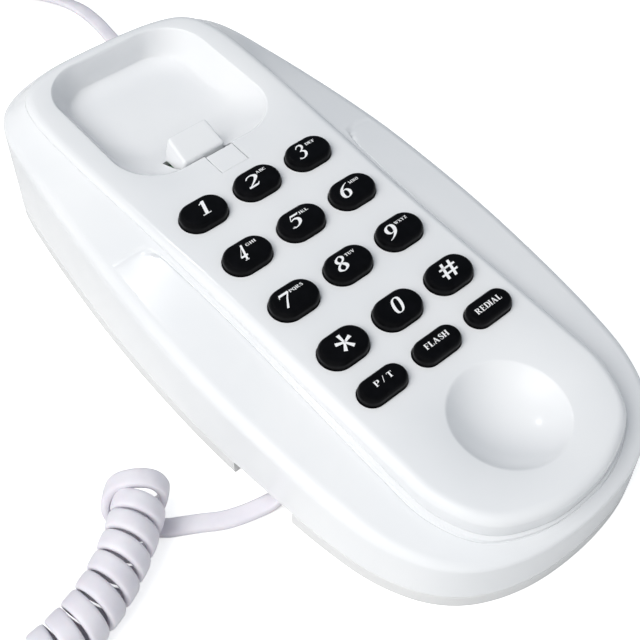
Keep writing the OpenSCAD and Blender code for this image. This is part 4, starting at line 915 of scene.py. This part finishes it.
# %% Figures as pen strokes
# A stroke is x, y, width at each point, in hundredths of the height. It is smooth, or straight if it starts
# with "-". "|x" is a thick upright stem, "_a b" a foot from a to b and "^a b" the same along the top.
FIGURES = {
    "1": "-30 0 6 30 4 22 30 86 22 30 97 22; _6 54; -8 80 7 22 88 9 38 96 4",
    "2": "6 78 7 14 92 9 32 98 10 50 88 17 54 70 21 42 46 15 22 22 8 6 7 5; -5 8 17 50 8 17; "
         "-50 5 8 58 24 5",
    "3": "5 80 6 13 92 8 28 98 9 44 90 15 48 76 18 40 62 11 22 53 5; "
         "22 53 5 40 50 10 53 37 18 50 17 20 34 4 10 16 3 7 7 9 14 7 10 15",
    "4": "-40 97 16 40 95 19 40 2 19; -42 98 5 2 30 5; -2 29 13 60 29 13; -24 3 6 56 3 6",
    "5": "-14 90 15 52 90 15 56 98 5; -15 95 5 8 58 5; "
         "9 56 7 28 64 11 47 52 18 50 28 21 38 9 13 20 2 8 8 8 14 7 9 15",
    "6": "54 97 4 36 88 9 17 66 18 11 38 21 17 12 15 32 3 7 48 14 16 50 36 18 40 55 12 27 58 6 14 46 6",
    "7": "-8 90 17 54 90 17; -8 98 5 5 74 5; -55 92 8 40 60 10 22 2 13",
    "8": "30 53 8 14 66 16 12 84 16 30 98 7 47 86 15 46 68 13 30 54 12 12 38 15 9 18 16 30 3 7 50 16 19 48 "
         "34 19 30 53 10",
    "9": "6 3 4 24 12 9 43 34 18 49 62 21 43 88 15 28 97 7 12 86 16 10 64 18 20 45 12 33 42 6 46 54 6",
    "0": "30 98 6 15 86 14 10 50 17 15 14 14 30 2 6 45 14 14 50 50 17 45 86 14 30 98 6",
    "star": "-50 50 10 50 98 22; -50 50 10 7 64 22; -50 50 10 93 64 22; -50 50 10 24 10 22; "
            "-50 50 10 76 10 22; -40 50 20 60 50 20",
    "hash": "-22 2 15 22 98 15; -58 2 15 58 98 15; -0 34 13 80 34 13; -0 68 13 80 68 13",
    "A": "-36 98 7 8 4 9; -34 98 20 66 4 22; -20 34 8 54 34 8; _0 20; _50 80",
    "B": "|16; -2 3 7 30 3 7 46 3 9; ^2 40; 40 96 7 56 88 20 56 64 20 36 53 7; "
         "36 53 7 62 42 22 62 12 22 40 3 7",
    "C": "62 72 5 56 90 7 36 97 8 16 82 20 10 50 22 16 18 20 38 3 8 58 10 7 66 26 5; -63 98 5 63 68 5",
    "D": "|16; _2 34; ^2 34; 34 96 7 60 84 20 68 50 22 60 16 20 34 4 7",
    "E": "|16; -2 3 8 60 3 8 64 26 5; -2 97 8 56 97 8 58 76 5; -16 51 8 44 51 8; -44 64 5 44 38 5",
    "F": "|16; _2 34; -2 97 8 56 97 8 58 74 5; -16 51 8 42 51 8; -42 64 5 42 38 5",
    "G": "62 72 5 56 90 7 36 97 8 16 82 20 10 50 22 16 18 20 38 3 8 60 10 8; -60 6 20 60 42 20; "
         "-44 44 7 74 44 7; -63 98 5 63 68 5",
    "H": "|16; |64; -16 50 8 64 50 8; _2 30; ^2 30; _50 78; ^50 78",
    "I": "|16; _2 30; ^2 30",
    "J": "-34 98 22 34 30 22; 34 32 22 30 8 16 16 3 10 8 14 16; ^20 48",
    "K": "|16; -64 94 8 20 44 8; -32 56 18 66 4 22; _2 30; ^2 30; _50 78; ^50 74",
    "L": "|16; -2 3 8 56 3 8 60 28 5; ^2 32",
    "M": "-12 2 8 12 98 8; -14 98 18 44 10 18; -44 6 7 78 98 7; -80 2 20 80 98 20; _0 24; _64 94; ^0 18; "
         "^78 94",
    "N": "-14 2 8 14 98 8; -14 98 20 62 2 20; -62 2 8 62 98 8; _0 28; ^0 18; ^48 76",
    "O": "36 98 7 16 84 19 10 50 22 16 16 19 36 2 7 58 16 19 64 50 22 58 84 19 36 98 7",
    "P": "|16; _2 34; ^2 36; 36 96 7 58 84 21 56 58 20 34 47 7",
    "Q": "36 98 7 16 84 19 10 50 22 16 16 19 36 2 7 58 16 19 64 50 22 58 84 19 36 98 7; -34 10 10 70 -16 16",
    "R": "|16; _2 32; ^2 36; 36 96 7 56 86 20 54 62 20 30 51 7; -36 52 16 66 4 21; _56 78",
    "S": "50 76 5 44 92 8 28 98 9 12 84 17 18 66 18 40 46 20 52 28 19 44 8 13 26 2 8 12 10 7 6 28 5",
    "T": "|36; -4 76 5 6 97 8 66 97 8 68 76 5; _20 52",
    "U": "-16 98 22 16 30 22; 16 32 22 22 8 15 40 2 9 56 10 8 62 30 7; -62 30 7 62 98 7; ^2 30; ^50 74",
    "V": "-12 98 22 38 2 18; -64 98 8 38 2 8; ^0 28; ^52 76",
    "W": "-12 98 20 30 2 16; -52 90 7 30 2 7; -48 98 20 66 2 16; -92 98 7 66 2 7; ^0 26; ^36 62; ^80 102",
    "X": "-14 98 21 62 2 21; -62 98 8 12 2 8; _0 24; _48 76; ^0 28; ^50 74",
    "Y": "-12 98 21 36 46 21 36 2 22; -64 98 8 40 48 8; _22 52; ^0 26; ^52 76",
    "Z": "-54 94 20 10 6 20; -8 74 5 12 97 8 62 97 8; -4 3 8 58 3 8 62 28 5",
    "/": "-4 -2 8 38 104 8",
    " ": "",
}
print("signs drawn:", len(FIGURES))


# %% Helpers: from strokes to print
PEN, SIGN_GAP, SPACE_WIDTH, PRINT_DEEP, PRINT_TOP, STROKE_STEP = 0.43, 0.13, 0.15, 0.10, 0.115, 0.002


def pen_path(text):
    """Centre line and width of one stroke, in shares of the height."""
    kind = text[0] if text[0] in "-|_^" else ""
    v = np.array([float(t) for t in text[len(kind):].split()])
    if kind == "|":
        v = np.array([v[0], 2, 22, v[0], 98, 22])
    elif kind in ("_", "^"):
        y = 3 if kind == "_" else 97
        v = np.array([v[0], y, 7, v[1], y, 7])
    v = v.reshape(-1, 3) / 100
    return v if kind else open_curve(v, 7)


def ribbon(v, tall, wide, lean, origin, top):
    """A stroke as a thin bar: centre line +- PEN x width across it, put at (wide x + lean tall y, tall y),
    from top - PRINT_DEEP to top."""
    line = v[:, :2]
    along = np.gradient(line, axis=0)
    along = along / np.maximum(np.linalg.norm(along, axis=1, keepdims=True), 1e-9)
    across = np.stack([-along[:, 1], along[:, 0]], axis=1) * v[:, 2:] * PEN
    x, y = np.moveaxis(np.stack([line - across, line + across], axis=1), -1, 0)
    flat = np.stack([wide * x + lean * tall * y, tall * y], axis=-1) + origin
    n = len(v)
    low, high = (np.concatenate([flat, np.full((n, 2, 1), z)], axis=2) for z in (top - PRINT_DEEP, top))
    # corners of a cross-section in turn: low right, top right, top left, low left
    ring = np.concatenate([low, high], axis=1)[:, [0, 2, 3, 1], :]
    ends = np.array([[0, 1, 2, 3], [4 * n - 1, 4 * n - 2, 4 * n - 3, 4 * n - 4]])
    return ring.reshape(-1, 3), [ring_faces(n, 4)[:, ::-1], ends]


def printed(name, words):
    """One mesh for a key's print; words are (text, height, x, y, run, lean).

    x, y is the start of the base line, and the signs and the gaps between them are stretched to the run."""
    verts, faces, count = [], [], 0
    for text, height, x, y, run, lean in words:
        drawn = [[pen_path(s) for s in FIGURES[sign].split("; ") if s] for sign in text]
        widths = [max([v[:, 0].max() for v in strokes] or [SPACE_WIDTH]) for strokes in drawn]
        wide = run / (sum(widths) + SIGN_GAP * (len(widths) - 1))
        pen = x
        for strokes, width in zip(drawn, widths):
            for k, v in enumerate(strokes):
                top = KEY_H + PRINT_TOP + STROKE_STEP * (k % 3)
                p, f = ribbon(v, height, wide, lean, np.array([pen, y]), top)
                verts.append(p)
                faces += [q + count for q in f]
                count += len(p)
            pen += wide * (width + SIGN_GAP)
    return tilt_mesh(make_mesh(name, np.vstack(verts), faces, INK, sharp=30))


# %% Printed figures
LETTERS = {"2": "ABC", "3": "DEF", "4": "GHI", "5": "JKL", "6": "MNO", "7": "PQRS", "8": "TUV", "9": "WXYZ"}
PRINT_AT = {  # height, x, y, run
    "1": (4.95, -1.75, -2.05, 3.0), "2": (4.3, -4.55, -2.2, 3.95), "3": (5.05, -4.55, -2.1, 2.75),
    "4": (5.35, -3.3, -2.4, 2.3), "5": (4.4, -4.4, -1.75, 3.5), "6": (4.9, -5.3, -2.2, 3.45),
    "7": (4.8, -5.15, -2.2, 3.4), "8": (4.8, -4.75, -2.05, 3.15), "9": (4.8, -5.6, -2.15, 3.3),
    "0": (4.8, -2.65, -2.1, 3.15), "star": (5.6, -2.6, -2.7, 5.3), "hash": (5.3, -3.8, -2.3, 5.6),
    "pulse_tone": (1.65, -2.6, -0.4, 5.9), "flash": (1.7, -4.1, -0.3, 8.0),
    "redial": (1.75, -4.9, -0.75, 9.0)}
LETTERS_AT = {"2": 1.05, "3": 0.5, "4": 0.9, "5": 0.4, "6": 0.2, "7": -0.1, "8": 0.4, "9": -0.2}
SIGNS = {"star": ["star"], "hash": ["hash"], "pulse_tone": "P / T", "flash": "FLASH", "redial": "REDIAL"}
LEAN = {"star": 0.0, "pulse_tone": 0.06, "flash": 0.06, "redial": 0.06}
DIGIT_LEAN, LETTER_H, LETTER_Y, LETTER_RUN = 0.30, 0.95, 1.45, 1.08
for label, (cx, cy, _) in key_places.items():
    height, x, y, run = PRINT_AT[label]
    words = [(SIGNS.get(label, label), height, cx + x, cy + y, run, LEAN.get(label, DIGIT_LEAN))]
    if label in LETTERS:
        words.append((LETTERS[label], LETTER_H, cx + LETTERS_AT[label], cy + LETTER_Y,
                      LETTER_RUN * len(LETTERS[label]), 0.0))
    figure = printed(f"key_{label}_print", words)
    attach(figure, f"key_{label}_cap")
print("prints made for", len(key_places), "keys")

# %% [markdown]
# ## Hook plunger and hanger tab
# The plunger is a wedge that stands in a slot of the recess and is pushed down by the resting
# handset. Its left side flares a little, as moulded parts do so that they leave the mould. The tab
# beside it is cut free at both sides; it is pulled out and turned when the telephone hangs on a
# wall. Both are short stacks of rounded rectangles.

# %% Plunger and tab
PLUNGER_FOOT, PLUNGER_ROUND = -4.6, 0.75


def wedge_top(y):
    """Top of the wedge: 1 at its near end, 3.5 at its far end."""
    return 1 + (y - 18.9) / 9.4 * 2.5


def plunger_ring(d, down=0.0, level=None):
    """The plunger's rounded rectangle made smaller by d, at a level or down from the wedge's top; its left
    side flares."""
    p = rect(-11.9 + d, 3.1 - d, 18.9 + d, 28.3 - d, max(1.0 - d, 0.2), 5)
    z = wedge_top(p[:, 1]) - down if level is None else np.full(len(p), level)
    left = np.clip((-4.4 - p[:, 0]) / 6, 0, 1)
    return np.column_stack([p[:, 0] + 1.25 * left * np.clip((z + 0.6) / 4.2, 0, 1), p[:, 1], z])


rings = [plunger_ring(0, level=PLUNGER_FOOT), plunger_ring(0, level=-0.6)]
rings += [plunger_ring(PLUNGER_ROUND * (1 - math.cos(a)), PLUNGER_ROUND * (1 - math.sin(a)))
          for a in np.radians(np.linspace(0, 90, 7))]
rings.append(plunger_ring(1.6))
n, rows = len(rings[0]), len(rings)
plunger = make_mesh("hook_plunger_wedge", np.vstack(rings + [np.array([[-4.4, 23.6, PLUNGER_FOOT]])]),
                    [ring_faces(rows, n), fan_faces(rows * n, 0, n, False),
                     np.arange((rows - 1) * n, rows * n)[None]], WHITE, sharp=50)
stand_in(tilt_mesh(plunger), "hook", "hook_plunger")

tab_rings = [flat_ring(rect(-4.65, 4.75, 9.96, 17.84, 0.15, 2), z) for z in (-2.2, -0.12)]
tab_rings += [flat_ring(rect(-4.53, 4.63, 10.0, 17.8, 0.15, 2), 0.0)]
hanger = loft("hanger_tab_plate", tab_rings, WHITE, sharp=30)
foot_bar = prism(rect(-4.65, 4.75, 12.9, 14.9, 0.3, 3), -6.4, -2.19, "hanger_tab_foot")
tilt_mesh(foot_bar)
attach(foot_bar, "hanger")
stand_in(tilt_mesh(hanger), "hanger", "hanger_tab")
print("plunger and tab made")

# %% [markdown]
# ## The lower shell
# The tray under the seam shows as a band a few millimetres high, and from below as a panel set back
# inside the rim, with pads, screw wells, two wall-hanging keyholes and the ringer's sound holes.
# It is the same outline lofted up, over the locating lip and down inside, then cut.

# %% Lower shell
tray_profile = [(2.4, 1.5), (2.0, 1.5), (2.0, 0.25), (1.8, 0), (0.4, 0), (0.1, 0.1), (0, 0.4), (0, 2.5),
                (0, 4.7), (0.14, 4.85), (2.84, 4.85), (2.84, 7.25), (3.0, 7.4), (4.04, 7.4), (4.04, 3.5)]
tray_rings = [flat_ring(moved_in(base_out, d), z) for d, z in tray_profile]
# The tray's darker white is painted shade for its band low under the seam.
tray = loft("lower_shell_tray", tray_rings, TRAY_WHITE_SHADED, sharp=40, ends=filled)
BOSSES = [(43, 20), (40, -68), (-43, 20), (-40, -68)]
PADS = [(40, 58), (30, -84), (-40, 58), (-30, -84)]
KEYHOLES_Y, SOUND_Y = (48, -42), -78
jack_hood = prism(rect(-48.3, -22.25, -55.6, -30.9, 0.6, 3), 1.5, 12.2)
for adder in [jack_hood] + [prism(round_ring(x, y, 4.2), 1.52, 5.0) for x, y in BOSSES]:
    carve(tray, [adder], sharp=40, how="UNION")
# the handset cord's notch and its jack's bay, the notch through the lip, and the line jack's gap in the lip
cutters = [prism(rect(-100, -47, -54, -32.5), -1, 5), prism(rect(-49.6, -23.85, -54, -32.5), -1, 10.6),
           prism(rect(-100, -49, -54, -32.5), 4, 8.4), prism(rect(18, 36, 80, 111.5), 3.52, 8.4)]
cutters += [prism(round_ring(x, y, 3.1), -1, 2.7) for x, y in BOSSES]
cutters += [prism(round_ring(x, y, 1.8, 20), 0, 6) for x, y in BOSSES]
cutters += [prism(round_ring(x, y, 5.1, 40), -1, 2.1) for x, y in PADS]
through = []
for y in KEYHOLES_Y:
    through += [round_ring(0, y, 3.6), rect(-1.8, 1.8, y, y + 7), round_ring(0, y + 7, 1.8, 20)]
through += hole_circle(0, SOUND_Y, 5, 6, 0.9, 16) + [round_ring(0, SOUND_Y, 0.9, 16)]
cutters += [prism(ring, 0, 4.5) for ring in through]
carve(tray, cutters, sharp=40)
stand_in(tray, "base", "lower_shell")
print("lower shell faces:", len(tray.data.polygons))

# %% [markdown]
# ## The handset
# It lies face down beside the base, at the far end of its cord. Two shells meet at a seam: the back
# is a long crowned lid, the front carries the square ear boss and the round mouth boss. Near the
# middle the rings are drawn in towards a spine instead of being moved in by a distance, because an
# outline moved in too far would cross itself at its corners.

# %% Handset: outline and heights
HANDSET_HALF = [[0, 1], [0.5, 0.985], [0.82, 0.93], [0.95, 0.8], [0.93, 0.5], [0.87, 0.15], [0.87, -0.15],
                [0.93, -0.45], [1, -0.75], [0.9, -0.92], [0.55, -0.985], [0, -1]]
HANDSET_AT = np.array([-146.0, 86.0])
HANDSET_LIES = np.append(HANDSET_AT, 0)
EAR_Y, MOUTH_Y, SPLIT = -66.0, 78.0, 12.0
handset_out = outline(HANDSET_HALF, 60, 200, 20)


def to_spine(p, share):
    """Points drawn towards the spine (0, y held within 72) by a share."""
    spine = np.column_stack([0 * p[:, 0], np.clip(p[:, 1], -72, 72)])
    return p + (spine - p) * share


def back_height(y):
    """Height of the handset's back: 27 - 3 (|y| / 100)^2.5."""
    return 27 - 3 * (np.abs(y) / 100) ** 2.5


def grip_height(y):
    """Underside of the grip between the bosses: 5.5 + 4 (1 - ((y - 6) / 48)^2), never below 5.5."""
    return 5.5 + 4 * np.clip(1 - ((y - 6) / 48) ** 2, 0, 1)


def handset_ring(d, height, share=0.0):
    """The handset's outline moved in by d, drawn to the spine by a share, at a height given over y."""
    p = to_spine(moved_in(handset_out, d), share)
    return flat_ring(p, height(p[:, 1]))


def toward_back(part):
    """Height at a part of the way from the seam to the back."""
    return lambda y: SPLIT + (back_height(y) - SPLIT) * part


def toward_seam(rise):
    """Height at rise / 6.6 of the way from the grip's underside to the seam."""
    return lambda y: grip_height(y) + (SPLIT - grip_height(y)) * rise / 6.6


def inside_grip(thick):
    """Height of the grip's inner face, kept under the seam."""
    return lambda y: np.minimum(grip_height(y) + thick, SPLIT - 0.4)


print("handset outline points:", len(handset_out))

# %% Handset: the two shells
back_rings = [flat_ring(moved_in(handset_out, d), z) for d, z in ((9, 21.6), (2, SPLIT), (0.14, SPLIT))]
back_rings += [handset_ring(d, toward_back(part)) for d, part in open_curve(
    [[0, 0.01], [0, 0.12], [0.12, 0.3], [0.55, 0.48], [1.5, 0.68], [3.0, 0.83], [5.0, 0.92], [7.5, 0.96]], 3)]
back_rings += [handset_ring(7.5, toward_back(crown), share)
               for share, crown in ((0.12, 0.972), (0.3, 0.985), (0.55, 0.995), (0.85, 1.0))]
back = loft("handset_back_shell", back_rings, WHITE, sharp=50, ends=filled, at=HANDSET_LIES)

front_rings = [handset_ring(6, grip_height, share) for share in (0.85, 0.6, 0.35, 0.15, 0.0)]
front_rings += [handset_ring(d, toward_seam(rise)) for d, rise in (
    (4, 0.08), (2.4, 0.35), (1.3, 0.9), (0.55, 1.8), (0.15, 3.0), (0, 4.2))]
front_rings += [flat_ring(moved_in(handset_out, d), z) for d, z in (
    (0, SPLIT - 0.3), (0.14, SPLIT - 0.15), (2, SPLIT - 0.15))]
front_rings += [handset_ring(2.6, inside_grip(2.1)), handset_ring(7, inside_grip(1.6)),
                handset_ring(7, lambda y: grip_height(y) + 1.6, 0.8)]
front = loft("handset_front_shell", front_rings, WHITE, sharp=50, ends=filled, at=HANDSET_LIES)
print("handset rings:", len(back_rings), len(front_rings))

# %% Handset: the two bosses
ear_rings = [flat_ring(rect(-21 + d, 21 - d, EAR_Y - 21 + d, EAR_Y + 21 - d, 10 - 0.6 * d, 10), z)
             for d, z in ((1.6, 0), (0.8, 0.25), (0.25, 0.8), (0, 1.6), (0, 6.5))]
ear_boss = loft("ear_boss", ear_rings, WHITE, at=HANDSET_LIES)
profile = open_curve([[0.6, 0], [4, 0.02], [8, 0.8], [11.5, 2.6], [13.4, 4.2], [14.5, 6.5]], 4)
profile = np.maximum(profile, 0)
turn = 2 * np.pi * np.arange(72) / 72
reach, z = profile[:, :1], np.broadcast_to(profile[:, 1:], (len(profile), len(turn)))
mouth = np.stack([reach * np.cos(turn), reach * np.sin(turn) + MOUTH_Y, z], axis=-1)
mouth_boss = loft("mouth_boss", mouth, WHITE, at=HANDSET_LIES)
for adder in (ear_boss, mouth_boss):
    carve(front, [adder], sharp=40, how="UNION")
print("front with bosses, faces:", len(front.data.polygons))

# %% Handset: sockets, screw wells and sound holes
def handset_cut(ring, z0, z1):
    """A cutter over a plane outline in the handset's own coordinates."""
    return prism(ring + HANDSET_AT, z0, z1)


def socket_cuts():
    """The bay that takes the plug's socket, and its mouth through the end wall."""
    return [handset_cut(rect(-5.3, 5.3, 84, 97.1), 7.4, 16.6),
            handset_cut(rect(-4.2, 4.2, 97, 101), 8.6, 15.4)]


front_cuts = [handset_cut(rect(-19, 19, EAR_Y - 19, EAR_Y + 19, 8, 8), 2, 12),
              handset_cut(round_ring(0, MOUTH_Y, 10.5), 3, 12)]
front_cuts += [handset_cut(hole, -1, 3) for hole in hole_circle(0, EAR_Y, 6, 6, 1.1, 20)
               + [round_ring(0, EAR_Y, 1.1, 20)]]
front_cuts += [handset_cut(hole, -1, 4) for hole in hole_circle(0, MOUTH_Y, 2.2, 4, 0.7, 16)]
front_cuts += [handset_cut(round_ring(0, y, 1.5, 20), -1, 12) for y in (-92, 30)]
carve(front, front_cuts + socket_cuts(), sharp=40)
carve(back, socket_cuts(), sharp=40)
stand_in(back, "handset", "handset_back")
stand_in(front, "handset", "handset_front")
print("handset faces:", len(back.data.polygons), len(front.data.polygons))

# %% [markdown]
# ## Plugs
# Each cord ends in a clear modular plug: a block with its front edges broken, a row of gold blades
# in slots near the nose, a crimp window where the jacket is gripped, and a spring latch below. The
# block is a stack of rounded rectangles along the plug; slots and window are sunk into it.

# %% Modular plugs
BLADE_PITCH = 1.02


def modular_plug(name, node, body_name, place, degrees, wide, ways):
    """Rings along y: the section |x| <= wide/2, -2.2 <= z <= 3 drawn in by d; blades and latch added."""
    def section(y, d):
        p = rect(-wide / 2 + d, wide / 2 - d, -2.2 + d, 3 - d, 0.35, 3)
        return np.column_stack([p[:, 0], np.full(len(p), float(y)), p[:, 1]])
    rings = [section(y, d) for y, d in (
        (-3, 0.35), (-2.65, 0.05), (-2.3, 0), (4, 0), (8.2, 0.02), (8.7, 0.12), (9, 0.45))]
    body = loft(name, rings, CLEAR, sharp=30, flip=True)
    xs = (np.arange(ways) - (ways - 1) / 2) * BLADE_PITCH
    cuts = [prism(rect(x - 0.3, x + 0.3, 4.6, 8.75), 1.3, 3.4) for x in xs]
    cuts += [prism(rect(-wide / 2 + 1.1, wide / 2 - 1.1, -1.2, 1.4, 0.3, 3), 1.9, 3.4)]
    carve(body, cuts, sharp=30)
    parts = [prism(rect(x - 0.16, x + 0.16, 5.0, 8.4), 1.2, 2.7, f"{name}_blade_{k}")
             for k, x in enumerate(xs)]
    tongue = np.array([[8, -2.15], [8, -2.5], [6.6, -3.0], [1.9, -3.0], [1.3, -2.7], [-2.4, -2.7],
                       [-2.4, -2.36], [6.2, -2.36], [6.8, -2.15]])
    sides = [np.column_stack([np.full(9, x), tongue]) for x in (-1.55, 1.55)]
    parts.append(loft(f"{name}_latch", sides, CLEAR, sharp=25))
    turn = Matrix.Translation(Vector(place) * MM) @ Matrix.Rotation(math.radians(degrees), 4, "Z")
    for part in [body] + parts:
        if "blade" in part.name:
            part.data.materials.clear()
            part.data.materials.append(GOLD)
        part.data.transform(turn)
        if part is not body:
            part.parent = body
    stand_in(body, body_name, node)
    return body


base_plug = modular_plug("base_cord_plug_clear", "base_cord_plug", "base", (-37, -47, 5.3), -90, 7.6, 4)
handset_plug = modular_plug("handset_cord_plug_clear", "handset_cord_plug", "handset", (-146, 183, 12),
                            180, 7.6, 4)
modular_plug("line_plug_clear", "line_plug", "base", (27, 93, 9.2), 180, 9.6, 6)
wall_end = modular_plug("wall_plug_clear", "wall_plug", "base", (72.25, 205, 3.1), 180, 9.6, 6)
print("plugs made: 4")
